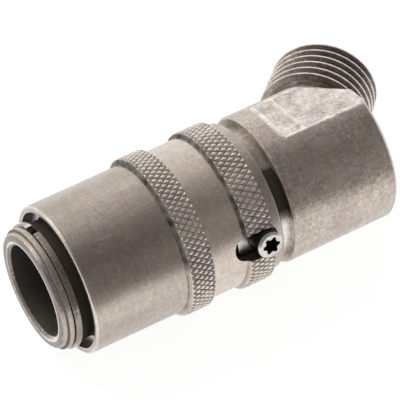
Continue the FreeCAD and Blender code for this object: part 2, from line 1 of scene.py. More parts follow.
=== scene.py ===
"""Looks of the quick coupling: knurled sleeve, nose, elbow with a cut thread, inner pieces and finishes.

Pieces are modelled with the coupling's axis on X and the stud towards +Y, then rolled as the coupling lies.
Sizes and stations are in millimetres and are turned to metres by MM. The stage's sizes are in metres.
"""
import json
import math

import bmesh
import bpy
from mathutils import Matrix, Vector


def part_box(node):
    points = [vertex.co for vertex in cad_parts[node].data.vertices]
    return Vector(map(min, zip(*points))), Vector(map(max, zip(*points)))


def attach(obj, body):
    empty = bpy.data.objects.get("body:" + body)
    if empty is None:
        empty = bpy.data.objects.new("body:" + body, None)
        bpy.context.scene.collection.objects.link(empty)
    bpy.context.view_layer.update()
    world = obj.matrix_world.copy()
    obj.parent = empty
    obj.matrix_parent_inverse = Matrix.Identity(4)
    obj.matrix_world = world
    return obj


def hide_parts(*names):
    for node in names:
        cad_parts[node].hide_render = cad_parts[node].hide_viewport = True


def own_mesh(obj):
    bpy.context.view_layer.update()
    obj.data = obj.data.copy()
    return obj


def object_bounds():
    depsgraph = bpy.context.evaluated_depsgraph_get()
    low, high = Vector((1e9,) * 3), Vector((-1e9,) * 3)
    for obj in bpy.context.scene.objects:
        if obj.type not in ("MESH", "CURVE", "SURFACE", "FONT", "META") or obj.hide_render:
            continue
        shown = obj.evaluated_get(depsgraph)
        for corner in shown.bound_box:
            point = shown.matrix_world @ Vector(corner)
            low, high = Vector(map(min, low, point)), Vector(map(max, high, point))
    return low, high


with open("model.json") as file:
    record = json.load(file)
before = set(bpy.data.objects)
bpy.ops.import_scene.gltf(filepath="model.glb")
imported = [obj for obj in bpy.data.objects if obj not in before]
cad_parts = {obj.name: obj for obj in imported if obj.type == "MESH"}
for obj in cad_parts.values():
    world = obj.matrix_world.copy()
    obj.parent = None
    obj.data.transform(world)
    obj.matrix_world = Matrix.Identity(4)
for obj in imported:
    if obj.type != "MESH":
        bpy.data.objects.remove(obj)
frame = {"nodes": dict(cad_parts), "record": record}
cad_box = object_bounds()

MM = 0.001
FULL_TURN = 2 * math.pi
ALONG_X = (1, 0, 0)
ALONG_Y = (0, 1, 0)
ALONG_Z = (0, 0, 1)
SEAM = 1e-6  # points nearer than this, in metres, are one point
LEAST_BEND = 0.1  # a side that bends less than this, in radians, is no edge
SHARP_DEG = 35  # edges that bend more than this stay sharp
ROUND_STEPS = 3  # faces across a rounded corner

# What the frame says
MOUNTS = {mount["name"]: mount for mount in frame["record"]["mounts"]}
STUD = MOUNTS["stud_thread"]
STUD_TIP = Vector(STUD["pos_m"])
STUD_AXIS = Vector(STUD["axis"])
THREAD_LENGTH = STUD["dims"]["length_mm"]
STUD_R = STUD["dims"]["r_mm"]
TUBE_SOCKET_R = MOUNTS["tube_socket"]["dims"]["r_mm"]
PLUG_BORE_R = MOUNTS["plug_socket"]["dims"]["r_mm"]
ROLL = Matrix.Rotation(math.atan2(STUD_AXIS.z, STUD_AXIS.y), 4, "X")
OWN_Y = ROLL @ Vector(ALONG_Y)  # towards the stud
OWN_Z = ROLL @ Vector(ALONG_Z)  # out of a wrench flat
FLOOR_Z = min(corner.z for corner in cad_box)


def span(node):
    """First and last station of a node along the coupling's axis."""
    low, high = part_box(node)
    return low.x / MM, high.x / MM


# Mesh helpers


def merge_points(bm):
    bmesh.ops.remove_doubles(bm, verts=bm.verts, dist=SEAM)


def face_outwards(bm):
    bmesh.ops.recalc_face_normals(bm, faces=bm.faces)


def spin_about(bm, axis, angle, steps, **more):
    """Spins all that is drawn about an axis through the origin."""
    bmesh.ops.spin(bm, geom=bm.verts[:] + bm.edges[:], cent=(0, 0, 0), axis=axis, angle=angle, steps=steps,
                   **more)


def break_corners(bm, corners, size, steps):
    """Cuts points back by a size, flat in one step or round in more."""
    bmesh.ops.bevel(bm, geom=corners, offset=size * MM, offset_type="OFFSET", segments=steps, profile=0.5,
                    affect="VERTICES", material=-1)


def turned(outline, steps):
    """Turned piece from (station, radius) or (station, radius, rounding) corners."""
    bm = bmesh.new()
    corners = [bm.verts.new((step[0] * MM, 0, step[1] * MM)) for step in outline]
    for i in range(len(corners)):
        bm.edges.new((corners[i], corners[(i + 1) % len(corners)]))
    by_size = {}
    for corner, step in zip(corners, outline):
        if len(step) > 2:
            by_size.setdefault(step[2], []).append(corner)
    for size, group in by_size.items():
        break_corners(bm, group, size, ROUND_STEPS)
    spin_about(bm, ALONG_X, FULL_TURN, steps, use_merge=True)
    merge_points(bm)
    face_outwards(bm)
    return bm


def drawn_verts(extruded):
    """Points that an extrusion made."""
    return [made for made in extruded["geom"] if isinstance(made, bmesh.types.BMVert)]


def cut_beyond(bm, point, normal):
    """Takes off what lies beyond a plane, and leaves the cut open."""
    everything = bm.verts[:] + bm.edges[:] + bm.faces[:]
    bmesh.ops.bisect_plane(bm, geom=everything, plane_co=point, plane_no=normal, clear_outer=True)


def face_width(face):
    """Narrow way across a face."""
    return 2 * face.calc_area() / max(edge.calc_length() for edge in face.edges) / MM


def mark_edges(bm, width):
    """Marks narrow faces: those that stand out, for wear with a painted highlight, with 1, and those in
    hollow corners, for painted shade, with -1.
    """
    rubbed = bm.faces.layers.float.new("rubbed")
    for face in bm.faces:
        bends = [edge.calc_face_angle_signed(0) for edge in face.edges]
        if face_width(face) < width:
            outward = sum(bend > LEAST_BEND for bend in bends)
            inward = sum(bend < -LEAST_BEND for bend in bends)
            if max(outward, inward) > 1:
                face[rubbed] = 1 if outward > inward else -1


def leave_dull(bm, first, last):
    """Takes the edge mark for painted highlight and shade off the faces between two stations."""
    rubbed = bm.faces.layers.float["rubbed"]
    for face in bm.faces:
        if first * MM < face.calc_center_median().x < last * MM:
            face[rubbed] = 0


def placed(name, data):
    made = bpy.data.objects.new(name, data)
    bpy.context.scene.collection.objects.link(made)
    return made


def in_scene(bm, name):
    """Object of a mesh, with no material yet."""
    mesh = bpy.data.meshes.new(name)
    bm.to_mesh(mesh)
    bm.free()
    return placed(name, mesh)


def finished(bm, name, material, sharp_deg=SHARP_DEG, weighted=True):
    """Puts a mesh in the scene with its finish, smooth apart from its sharp edges."""
    for face in bm.faces:
        face.smooth = True
    for edge in bm.edges:
        edge.smooth = edge.calc_face_angle(0) < math.radians(sharp_deg)
    piece = in_scene(bm, name)
    piece.data.materials.append(material)
    if weighted:
        even = piece.modifiers.new("even_normals", "WEIGHTED_NORMAL")
        even.keep_sharp = True
    return piece


def fitted(bm, name, node, body, slot, finish, **how):
    """Finished piece in a node's place on its body; the slot argument is not used."""
    piece = finished(bm, name, finish, **how)
    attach(piece, body)
    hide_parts(node)
    return piece


def cut_away(bm, cutter_bm):
    """Returns the mesh with the cutter's shape taken out of it."""
    stock = in_scene(bm, "stock")
    cutter = in_scene(cutter_bm, "cutter")
    cut = stock.modifiers.new("cut", "BOOLEAN")
    cut.operation = "DIFFERENCE"
    cut.solver = "EXACT"
    cut.object = cutter
    graph = bpy.context.evaluated_depsgraph_get()
    result = bpy.data.meshes.new_from_object(stock.evaluated_get(graph))
    left = bmesh.new()
    left.from_mesh(result)
    for leftover in (stock, cutter):
        old = leftover.data
        bpy.data.objects.remove(leftover)
        bpy.data.meshes.remove(old)
    bpy.data.meshes.remove(result)
    merge_points(left)
    return left


# Locking sleeve

SLEEVE_FRONT, SLEEVE_REAR = span("locking_sleeve")
SLEEVE_R = 11.15
MID_BAND_R = 11.3
KNURL_R = 12.0
KNURL_DEPTH = 0.19
KNURL_COLUMNS = 154  # half diamonds round the sleeve
KNURL_ROWS = 5  # half diamonds across a band
KNURL_TOP = 0.22  # share of each diamond's width that is flat
KNURL_PEAK = KNURL_R + KNURL_DEPTH * KNURL_TOP / (1 - KNURL_TOP)  # where a diamond's sides would meet
KNURL_END_BREAK = 0.12  # rubbed corner of a band's end diamonds
KNURL_FRONT_RUN = 0.4  # length of the slope up to a band
KNURL_REAR_RUN = 0.25
KNURL_1 = (SLEEVE_FRONT + 15.0, SLEEVE_FRONT + 18.45)
KNURL_2 = (SLEEVE_FRONT + 24.45, SLEEVE_FRONT + 28.35)
RIM_INNER_R = 10.25
RIM_ROUND = 0.4
RECESS_END = SLEEVE_FRONT + 1.6
LIP_END = SLEEVE_FRONT + 2.6
RELEASE_R = 9.6
LAND_R = 9.0
LAND_START = SLEEVE_FRONT + 5.75
LAND_END = SLEEVE_FRONT + 9.05
SPRING_BORE_R = 10.15
NECK_BORE_R = 10.0
NECK_BORE_START = SLEEVE_REAR - 8.4
SCREW_X = SLEEVE_REAR - 3.1
SLOT_FRONT_X = SCREW_X - 2.65  # middle of the slot's front round
SLOT_R = 2.15
SLOT_FLOOR_R = 8.5  # the cutter reaches in to here
SLOT_STEPS = 64
SMALL_BREAK = 0.08
FILLET = 0.12
SLEEVE_EDGE_WIDTH = 0.16  # narrower faces are broken edges or fillets


def knurl_stations(band):
    first, last = band
    return [first + (last - first) * row / KNURL_ROWS for row in range(KNURL_ROWS + 1)]


def sleeve_outline():
    return [
        (SLEEVE_FRONT, RIM_INNER_R, SMALL_BREAK),
        (SLEEVE_FRONT, SLEEVE_R, RIM_ROUND),
        (KNURL_1[0] - KNURL_FRONT_RUN, SLEEVE_R, FILLET),
        *[(x, KNURL_R) for x in knurl_stations(KNURL_1)],
        (KNURL_1[1] + KNURL_REAR_RUN, MID_BAND_R, FILLET),
        (KNURL_2[0] - KNURL_FRONT_RUN, MID_BAND_R, FILLET),
        *[(x, KNURL_R) for x in knurl_stations(KNURL_2)],
        (KNURL_2[1] + KNURL_REAR_RUN, SLEEVE_R, FILLET),
        (SLEEVE_REAR, SLEEVE_R, RIM_ROUND),
        (SLEEVE_REAR, NECK_BORE_R, SMALL_BREAK),
        (NECK_BORE_START, NECK_BORE_R),
        (NECK_BORE_START - (SPRING_BORE_R - NECK_BORE_R), SPRING_BORE_R),
        (LAND_END, SPRING_BORE_R),
        (LAND_END, LAND_R, SMALL_BREAK),
        (LAND_START, LAND_R, SMALL_BREAK),
        (LAND_START - (RELEASE_R - LAND_R), RELEASE_R),
        (LIP_END, RELEASE_R),
        (LIP_END, LAND_R, SMALL_BREAK),
        (RECESS_END, LAND_R, SMALL_BREAK),
        (RECESS_END, RIM_INNER_R),
    ]


def cut_knurl(bm, band):
    """Lowers every second point of a band, so that grooves run between diamonds, and flattens the tops."""
    rows = knurl_stations(band)
    lows, tops, ends = [], [], []
    for vert in bm.verts:
        radius = math.hypot(vert.co.y, vert.co.z)
        found = [i for i, x in enumerate(rows) if abs(vert.co.x - x * MM) < SEAM]
        if not found or radius < (KNURL_R - KNURL_DEPTH) * MM:
            continue
        column = round(math.atan2(vert.co.y, vert.co.z) / FULL_TURN * KNURL_COLUMNS)
        if (column + found[0]) % 2:
            lows.append(vert)
        elif found[0] in (0, KNURL_ROWS):
            ends.append(vert)
        else:
            tops.append(vert)
    for verts, radius in ((lows, KNURL_R - KNURL_DEPTH), (tops, KNURL_PEAK)):
        bmesh.ops.scale(bm, verts=verts, vec=(1, radius / KNURL_R, radius / KNURL_R))
    bmesh.ops.connect_verts(bm, verts=lows)
    bmesh.ops.bevel(bm, geom=tops, offset=100 * KNURL_TOP, offset_type="PERCENT", segments=1, profile=0.5,
                    affect="VERTICES", material=-1)
    break_corners(bm, ends, KNURL_END_BREAK, 1)


def slot_cutter():
    """Long round-ended block that stands out sideways where the lock screw moves."""
    bm = bmesh.new()
    bmesh.ops.create_circle(bm, cap_ends=True, segments=SLOT_STEPS, radius=SLOT_R * MM)
    bmesh.ops.translate(bm, verts=[v for v in bm.verts if v.co.x < -SEAM],
                        vec=((SLOT_FRONT_X - SCREW_X) * MM, 0, 0))
    bm.transform(Matrix.Rotation(math.pi / 2, 4, "X"))
    bmesh.ops.translate(bm, verts=bm.verts, vec=(SCREW_X * MM, -SLOT_FLOOR_R * MM, 0))
    outer = bmesh.ops.extrude_face_region(bm, geom=bm.faces[:])
    bmesh.ops.translate(bm, verts=drawn_verts(outer), vec=(0, -(2 * KNURL_R - SLOT_FLOOR_R) * MM, 0))
    face_outwards(bm)
    return bm


def locking_sleeve(finish):
    bm = turned(sleeve_outline(), KNURL_COLUMNS)
    for band in (KNURL_1, KNURL_2):
        cut_knurl(bm, band)
    bm = cut_away(bm, slot_cutter())
    bm.transform(ROLL)
    mark_edges(bm, SLEEVE_EDGE_WIDTH)
    fitted(bm, "knurled_sleeve", "locking_sleeve", "sleeve", "plated_steel", finish)


# Elbow with its cut thread

THREAD_PITCH = 1.5
THREAD_DEPTH = 0.8
THREAD_FLANK = THREAD_DEPTH * math.tan(math.radians(30))
CREST_FLAT = 0.19
THREAD_CUTS = 2  # points added to each line of the thread's outline, for trimming
THREAD_STEPS = 96  # to a turn
THREAD_TURNS = 9
STUD_CHAMFER = 0.8
UNDERCUT_R = 6.95
THREAD_RUN = THREAD_LENGTH + 1.0  # the last turn runs out into the undercut
UNDERCUT_SLOPE = 0.45
JOIN_GAP = 0.05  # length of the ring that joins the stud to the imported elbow
STUD_CUT = -THREAD_RUN - UNDERCUT_SLOPE - JOIN_GAP  # where the stud starts, from the thread's end
TUBE_CONE_R = 6.15
TUBE_CONE_START = -4.375
RIM_TOLERANCE = 20 * SEAM
CUTTER_LINE_X = 43.0  # line left across each flat by the cutter
FLAT_HEIGHT = 10.0
FLAT_EDGE = (4.6, 4.85)  # strip along a flat, from its middle line, rubbed bright with a painted highlight
HOLLOW_X = 40.25  # middle of the hollow left by the cutter in front of a flat
HOLLOW_HEIGHT = 11.4
HOLLOW_R = 1.4
ELBOW_FRONT = 36.0
ELBOW_EDGE_WIDTH = 0.42
ELBOW_SHARP_DEG = 22
ONE_FACE_DEG = 0.5  # packed faces that bend less than this are one face


def stud_frame():
    """Places a mesh that is turned about Z, with z = 0 at the thread's end, on the stud."""
    turn = STUD_AXIS.to_track_quat("Z", "Y").to_matrix().to_4x4()
    return Matrix.Translation(STUD_TIP) @ turn


def stud_envelope(z):
    """Outside radius of the stud's turned blank."""
    undercut_end = -THREAD_RUN - UNDERCUT_SLOPE
    if z < undercut_end:
        return UNDERCUT_R
    if z < -THREAD_RUN:
        return UNDERCUT_R + (STUD_R - UNDERCUT_R) * (z - undercut_end) / UNDERCUT_SLOPE
    return min(STUD_R, STUD_R - z)


def thread_surface():
    """Thread of one pitch, spun along its helix and trimmed to the stud's turned blank."""
    root_r = STUD_R - THREAD_DEPTH
    root_flat = THREAD_PITCH - CREST_FLAT - 2 * THREAD_FLANK
    start = STUD_CUT - THREAD_PITCH
    steps = [(0, root_r), (root_flat, root_r), (root_flat + THREAD_FLANK, STUD_R),
             (root_flat + THREAD_FLANK + CREST_FLAT, STUD_R), (THREAD_PITCH, root_r)]
    bm = bmesh.new()
    verts = [bm.verts.new((r * MM, 0, (start + z) * MM)) for z, r in steps]
    edges = [bm.edges.new(pair) for pair in zip(verts, verts[1:])]
    bmesh.ops.subdivide_edges(bm, edges=edges, cuts=THREAD_CUTS)
    spin_about(bm, ALONG_Z, FULL_TURN * THREAD_TURNS, THREAD_STEPS * THREAD_TURNS,
               dvec=(0, 0, THREAD_PITCH * MM / THREAD_STEPS))
    merge_points(bm)
    for vert in bm.verts:
        limit = stud_envelope(vert.co.z / MM) * MM
        radius = math.hypot(vert.co.x, vert.co.y)
        if radius > limit:
            vert.co.x *= limit / radius
            vert.co.y *= limit / radius
    cut_beyond(bm, (0, 0, STUD_CUT * MM), (0, 0, -1))
    cut_beyond(bm, (0, 0, STUD_CHAMFER * MM), ALONG_Z)
    merge_points(bm)
    return bm


def rim_edges(bm, place, z):
    """Open edges that lie at one station of the stud."""
    back = place.inverted()
    level = {vert for vert in bm.verts if abs((back @ vert.co).z - z * MM) < RIM_TOLERANCE}
    return [edge for edge in bm.edges if edge.is_boundary and level.issuperset(edge.verts)]


def draw_tube_bore(bm):
    """End face, cone and tube socket, drawn inwards from the rim at the thread's end."""
    steps = [(STUD_CHAMFER, TUBE_CONE_R), (TUBE_CONE_START, TUBE_SOCKET_R), (STUD_CUT, TUBE_SOCKET_R)]
    rim = rim_edges(bm, Matrix(), STUD_CHAMFER)
    for z, r in steps:
        drawn = bmesh.ops.extrude_edge_only(bm, edges=rim)
        verts = drawn_verts(drawn)
        rim = [made for made in drawn["geom"] if isinstance(made, bmesh.types.BMEdge) and made.is_boundary]
        scale = r * MM / math.hypot(verts[0].co.x, verts[0].co.y)
        bmesh.ops.scale(bm, verts=verts, vec=(scale, scale, 1))
        bmesh.ops.translate(bm, verts=verts, vec=(0, 0, z * MM - verts[0].co.z))


def take_in(bm, other):
    """Adds another mesh to this one."""
    passed_on = bpy.data.meshes.new("passed_on")
    other.to_mesh(passed_on)
    other.free()
    bm.from_mesh(passed_on)
    bpy.data.meshes.remove(passed_on)


def bridge_rims(bm, place, stations, between_r):
    """Joins the inner rims, and then the outer ones, of two stations with a ring of faces."""
    back = place.inverted()
    for outer_side in (False, True):
        edges = []
        for z in stations:
            for edge in rim_edges(bm, place, z):
                middle = back @ ((edge.verts[0].co + edge.verts[1].co) / 2)
                if (math.hypot(middle.x, middle.y) > between_r * MM) == outer_side:
                    edges.append(edge)
        bmesh.ops.bridge_loops(bm, edges=edges)


def elbow(finish):
    """Packed elbow up to its undercut, with the modelled stud joined on."""
    bm = bmesh.new()
    bm.from_mesh(frame["nodes"]["elbow_body"].data)
    merge_points(bm)
    bmesh.ops.dissolve_limit(bm, angle_limit=math.radians(ONE_FACE_DEG), verts=bm.verts, edges=bm.edges)
    mark_edges(bm, ELBOW_EDGE_WIDTH)
    leave_dull(bm, HOLLOW_X - HOLLOW_R, HOLLOW_X + HOLLOW_R)
    place = stud_frame()
    elbow_cut = STUD_CUT - JOIN_GAP
    cut_beyond(bm, place @ Vector((0, 0, elbow_cut * MM)), STUD_AXIS)
    stud = thread_surface()
    draw_tube_bore(stud)
    stud.transform(place)
    take_in(bm, stud)
    bridge_rims(bm, place, (elbow_cut, STUD_CUT), (TUBE_SOCKET_R + UNDERCUT_R) / 2)
    face_outwards(bm)
    fitted(bm, "threaded_elbow", "elbow_body", "body", "plated_steel", finish, sharp_deg=ELBOW_SHARP_DEG)


# Socket body with the nose

NOSE_R = 8.65
NOSE_ROUND = 0.55
COLLAR_R = 9.05
COLLAR_START = 0.85
GROOVE_START = 1.75
GROOVE_END = 2.8
GROOVE_R = 8.2
BODY_R = 8.85
NECK_START = 27.5
TAIL_R = 7.9
TAIL_END = 33.5
TAIL_CHAMFER = 0.5
CHAMBER_R = 6.6
SEAT_START = 17.8
SEAT_END = 19.8
THROAT_R = 4.6
THROAT_CHAMFER = 0.5
TIP_BORE_END = 16.4
TIP_BORE_R = 6.2
SEAL_GROOVE = (12.2, 14.4)
SEAL_GROOVE_R = 7.7
BALL_ZONE_R = 7.05
BALL_ZONE_START = 8.1
MOUTH_CHAMFER = 0.45
MOUTH_R = PLUG_BORE_R + MOUTH_CHAMFER
BALL_X = 9.75
BALL_HOLE_R = 1.3
BALL_REST_R = 7.45
BALL_SEAT_DEPTH = 0.4
BALL_COUNT = 8
DRILL_STEPS = 32
DRILL_REACH = 3.0  # straight length of a drill behind its taper
BODY_STEPS = 128
FINE_EDGE_WIDTH = 0.1


def socket_outline():
    return [
        (MOUTH_CHAMFER, PLUG_BORE_R, SMALL_BREAK),
        (0, MOUTH_R, SMALL_BREAK),
        (0, NOSE_R, NOSE_ROUND),
        (COLLAR_START, NOSE_R, SMALL_BREAK),
        (COLLAR_START, COLLAR_R, SMALL_BREAK),
        (GROOVE_START, COLLAR_R, SMALL_BREAK),
        (GROOVE_START, GROOVE_R),
        (GROOVE_END, GROOVE_R),
        (GROOVE_END, BODY_R, SMALL_BREAK),
        (NECK_START, BODY_R, SMALL_BREAK),
        (NECK_START, TAIL_R),
        (TAIL_END - TAIL_CHAMFER, TAIL_R),
        (TAIL_END, TAIL_R - TAIL_CHAMFER),
        (TAIL_END, CHAMBER_R),
        (SEAT_END, CHAMBER_R),
        (SEAT_START, THROAT_R),
        (TIP_BORE_END + THROAT_CHAMFER, THROAT_R, SMALL_BREAK),
        (TIP_BORE_END, THROAT_R + THROAT_CHAMFER, SMALL_BREAK),
        (TIP_BORE_END, TIP_BORE_R),
        (SEAL_GROOVE[1], TIP_BORE_R, SMALL_BREAK),
        (SEAL_GROOVE[1], SEAL_GROOVE_R),
        (SEAL_GROOVE[0], SEAL_GROOVE_R),
        (SEAL_GROOVE[0], BALL_ZONE_R, SMALL_BREAK),
        (BALL_ZONE_START, BALL_ZONE_R),
        (BALL_ZONE_START, PLUG_BORE_R, SMALL_BREAK),
    ]


def ball_hole_drills():
    """Tapered drills that leave a narrow lip at the bore, so that the balls stay in their holes."""
    taper = math.asin(BALL_SEAT_DEPTH / BALL_HOLE_R)
    taper_start = BALL_REST_R - BALL_HOLE_R * math.tan(taper / 2)
    tip_start = taper_start - BALL_HOLE_R
    tip_r = BALL_HOLE_R * (1 - math.tan(taper))
    middle = Matrix.Translation((BALL_X * MM, 0, (tip_start + taper_start) / 2 * MM))
    bm = bmesh.new()
    for i in range(BALL_COUNT):
        turn = Matrix.Rotation(-FULL_TURN * (i + 0.5) / BALL_COUNT, 4, "X")
        made = bmesh.ops.create_cone(bm, cap_ends=True, segments=DRILL_STEPS, radius1=tip_r * MM,
                                     radius2=BALL_HOLE_R * MM, depth=(taper_start - tip_start) * MM,
                                     matrix=turn @ middle)
        direction = turn @ Vector(ALONG_Z)
        far = max(vert.co.dot(direction) for vert in made["verts"])
        rim = [vert for vert in made["verts"] if abs(vert.co.dot(direction) - far) < SEAM]
        cap = [face for face in bm.faces if all(vert in rim for vert in face.verts)]
        grown = bmesh.ops.extrude_face_region(bm, geom=cap)
        bmesh.ops.translate(bm, verts=drawn_verts(grown), vec=direction * DRILL_REACH * MM)
        bmesh.ops.delete(bm, geom=cap, context="FACES_ONLY")
    face_outwards(bm)
    return bm


def socket_body(finish):
    bm = turned(socket_outline(), BODY_STEPS)
    bm = cut_away(bm, ball_hole_drills())
    bm.transform(ROLL)
    mark_edges(bm, FINE_EDGE_WIDTH)
    fitted(bm, "socket_nose_body", "socket_body", "body", "plated_steel", finish)


# Snap ring and springs

RING_X = (1.8, 2.75)
RING_R = (8.25, 9.4)
RING_GAP_DEG = 13.0
RING_GAP_TURN_DEG = 4.0  # middle of the split, from the flat's side towards the stud
RING_BREAK = 0.1
RING_STEPS = 150
RING_FIRST = math.radians(RING_GAP_TURN_DEG + RING_GAP_DEG / 2)  # turn at which the wire starts
# Outwards at the wire's start, and from there along the wire
RING_END_TOP = ROLL @ Vector((0, math.sin(RING_FIRST), math.cos(RING_FIRST)))
RING_END_WAY = ROLL @ Vector((0, math.cos(RING_FIRST), -math.sin(RING_FIRST)))
WIRE_STEPS = 14  # faces round a spring's wire
COIL_STEPS = 48  # to a turn
COIL_TURNS = 4.5
SLEEVE_WIRE_R = 0.45
SLEEVE_COIL_R = 9.5
VALVE_WIRE_R = 0.4
VALVE_COIL_R = 2.6


def fill_ends(bm):
    bmesh.ops.holes_fill(bm, edges=[edge for edge in bm.edges if edge.is_boundary], sides=0)
    face_outwards(bm)


def snap_ring(finish):
    """Flat wire bent round the nose, with its corners rubbed round and an open split near the top."""
    front, rear = RING_X
    inner, outer = RING_R
    bm = bmesh.new()
    corners = [(front, inner), (front, outer), (rear, outer), (rear, inner)]
    verts = [bm.verts.new((x * MM, 0, r * MM)) for x, r in corners]
    for i in range(len(verts)):
        bm.edges.new((verts[i], verts[i - 1]))
    break_corners(bm, verts, RING_BREAK, ROUND_STEPS)
    bm.transform(Matrix.Rotation(-RING_FIRST, 4, "X"))
    spin_about(bm, ALONG_X, -math.radians(360 - RING_GAP_DEG), RING_STEPS)
    fill_ends(bm)
    bm.transform(ROLL)
    mark_edges(bm, FINE_EDGE_WIDTH)
    fitted(bm, "split_snap_ring", "snap_ring", "body", "spring_steel", finish)


def coil(wire_r, coil_r, first, last):
    """Round wire wound from one flat seat to the other."""
    bm = bmesh.new()
    bmesh.ops.create_circle(bm, segments=WIRE_STEPS, radius=wire_r * MM)
    bmesh.ops.translate(bm, verts=bm.verts, vec=((first + wire_r) * MM, coil_r * MM, 0))
    steps = round(COIL_TURNS * COIL_STEPS)
    rise = (last - first - 2 * wire_r) * MM
    spin_about(bm, ALONG_X, FULL_TURN * COIL_TURNS, steps, dvec=(rise / steps, 0, 0))
    fill_ends(bm)
    bm.transform(ROLL)
    return bm


def spring(name, node, wire_r, coil_r, finish):
    """Coil spring wound between the two ends of its node."""
    first, last = span(node)
    wire = coil(wire_r, coil_r, first, last)
    piece = fitted(wire, name, node, "body", "spring_steel", finish, weighted=False)
    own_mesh(piece)


# Colours of the finishes

NICKEL = (0.520, 0.461, 0.405, 1)
KNURL_NICKEL = (0.73, 0.648, 0.570, 1)
POLISHED_NICKEL = (0.72, 0.640, 0.560, 1)
NOSE_FACE = (0.27, 0.240, 0.210, 1)
ELBOW_NICKEL = (0.57, 0.507, 0.450, 1)
MILLED_NICKEL = (0.80, 0.735, 0.680, 1)
MILLED_CLOUD = (0.52, 0.465, 0.420, 1)
THREAD_BROWN = (0.24, 0.205, 0.178, 1)
THREAD_PALE = (0.40, 0.342, 0.310, 1)
RING_STEEL = (0.33, 0.290, 0.252, 1)
# bright colour for wear and for painted highlights
WEAR_AND_HIGHLIGHT = (0.97, 0.93, 0.88, 1)
# dark colour for oil and for painted shade
OIL_AND_SHADE = (0.040, 0.032, 0.024, 1)
LILAC_STAIN = (0.88, 0.80, 0.88, 1)
TAN_STAIN = (0.97, 0.93, 0.80, 1)
# near black of oxide and painted shade on the screw
OXIDE_AND_SHADE_BLACK = (0.022, 0.020, 0.017, 1)
BARE_STEEL = (0.86, 0.82, 0.77, 1)
SPRING_STEEL = (0.42, 0.40, 0.38, 1)
BALL_STEEL = (0.62, 0.61, 0.60, 1)
BRASS = (0.60, 0.44, 0.20, 1)
RUBBER = (0.012, 0.012, 0.012, 1)
RUBBER_BLOOM = (0.03, 0.028, 0.026, 1)

# Shader helpers

MIX_SHARE, MIX_FIRST, MIX_SECOND = 0, 6, 7  # colour sockets of a mix node
MIX_RESULT = 2


def new_finish(name):
    material = bpy.data.materials.new(name)
    material.use_nodes = True
    tree = material.node_tree
    return material, tree, tree.nodes["Principled BSDF"]


def put(tree, kind, inputs=(), **settings):
    """Adds a node; inputs are (socket, plain value or another node's output)."""
    made = tree.nodes.new(kind)
    for key, value in settings.items():
        setattr(made, key, value)
    for socket, value in inputs:
        if isinstance(value, bpy.types.NodeSocket):
            tree.links.new(value, made.inputs[socket])
        else:
            made.inputs[socket].default_value = value
    return made


def object_place(tree):
    return put(tree, "ShaderNodeTexCoord").outputs["Object"]


def stretched(tree, place, scale, turn=(0, 0, 0)):
    made = put(tree, "ShaderNodeMapping", [("Vector", place), ("Rotation", turn), ("Scale", scale)])
    return made.outputs["Vector"]


def noise(tree, place, scale, detail=3.0, roughness=0.5):
    """Clouds whose scale is in patches to the metre."""
    made = put(tree, "ShaderNodeTexNoise", [("Vector", place), ("Scale", scale), ("Detail", detail),
                                            ("Roughness", roughness)])
    return made.outputs["Fac"]


def ranged(tree, value, low, high, to_low=0.0, to_high=1.0):
    """Goes from one level to another between two values, and is level outside them."""
    made = put(tree, "ShaderNodeMapRange", [("Value", value), ("From Min", low), ("From Max", high),
                                            ("To Min", to_low), ("To Max", to_high)])
    return made.outputs["Result"]


def patches(tree, place, scale, between, levels=(0, 1), detail=3.0, roughness=0.5):
    """Noise that goes from one level to the other between two of its values."""
    return ranged(tree, noise(tree, place, scale, detail, roughness), *between, *levels)


def mixed(tree, share, first, second, blend="MIX"):
    made = put(tree, "ShaderNodeMix", [(MIX_SHARE, share), (MIX_FIRST, first), (MIX_SECOND, second)],
               data_type="RGBA", blend_type=blend)
    return made.outputs[MIX_RESULT]


def maths(tree, operation, first, second=0.0):
    return put(tree, "ShaderNodeMath", [(0, first), (1, second)], operation=operation).outputs[0]


def times(tree, first, *others):
    for other in others:
        first = maths(tree, "MULTIPLY", first, other)
    return first


def strongest(tree, first, *others):
    for other in others:
        first = maths(tree, "MAXIMUM", first, other)
    return first


def within(tree, value, low, high, soft):
    """One between two values, fading to zero over a soft width outside them."""
    return times(tree, ranged(tree, value, low - soft, low), ranged(tree, value, high, high + soft, 1, 0))


def close_to(tree, value, middle, reach, soft):
    """One near a value, fading to zero over a soft width."""
    return within(tree, value, middle - reach, middle + reach, soft)


def hypotenuse(tree, first, second):
    both = maths(tree, "ADD", times(tree, first, first), times(tree, second, second))
    return maths(tree, "SQRT", both)


def vector_maths(tree, operation, first, second=(0, 0, 0)):
    return put(tree, "ShaderNodeVectorMath", [(0, first), (1, second)], operation=operation).outputs


def along(tree, place, direction, origin=(0, 0, 0)):
    """Distance from an origin along a direction."""
    offset = vector_maths(tree, "SUBTRACT", place, origin)["Vector"]
    return maths(tree, "DIVIDE", vector_maths(tree, "DOT_PRODUCT", offset, direction)["Value"], MM)


def off_line(tree, place, direction, origin=(0, 0, 0)):
    """Distance from a line."""
    offset = vector_maths(tree, "SUBTRACT", place, origin)["Vector"]
    across = vector_maths(tree, "CROSS_PRODUCT", offset, direction)["Vector"]
    return maths(tree, "DIVIDE", vector_maths(tree, "LENGTH", across)["Value"], MM)


def off_axis(tree, place):
    """Distance from the coupling's axis, and station along it."""
    return off_line(tree, place, ALONG_X), along(tree, place, ALONG_X)


def bumped(tree, shader, height, strength, distance):
    made = put(tree, "ShaderNodeBump", [("Height", height), ("Strength", strength), ("Distance", distance)])
    tree.links.new(made.outputs["Normal"], shader.inputs["Normal"])


# Plated steel

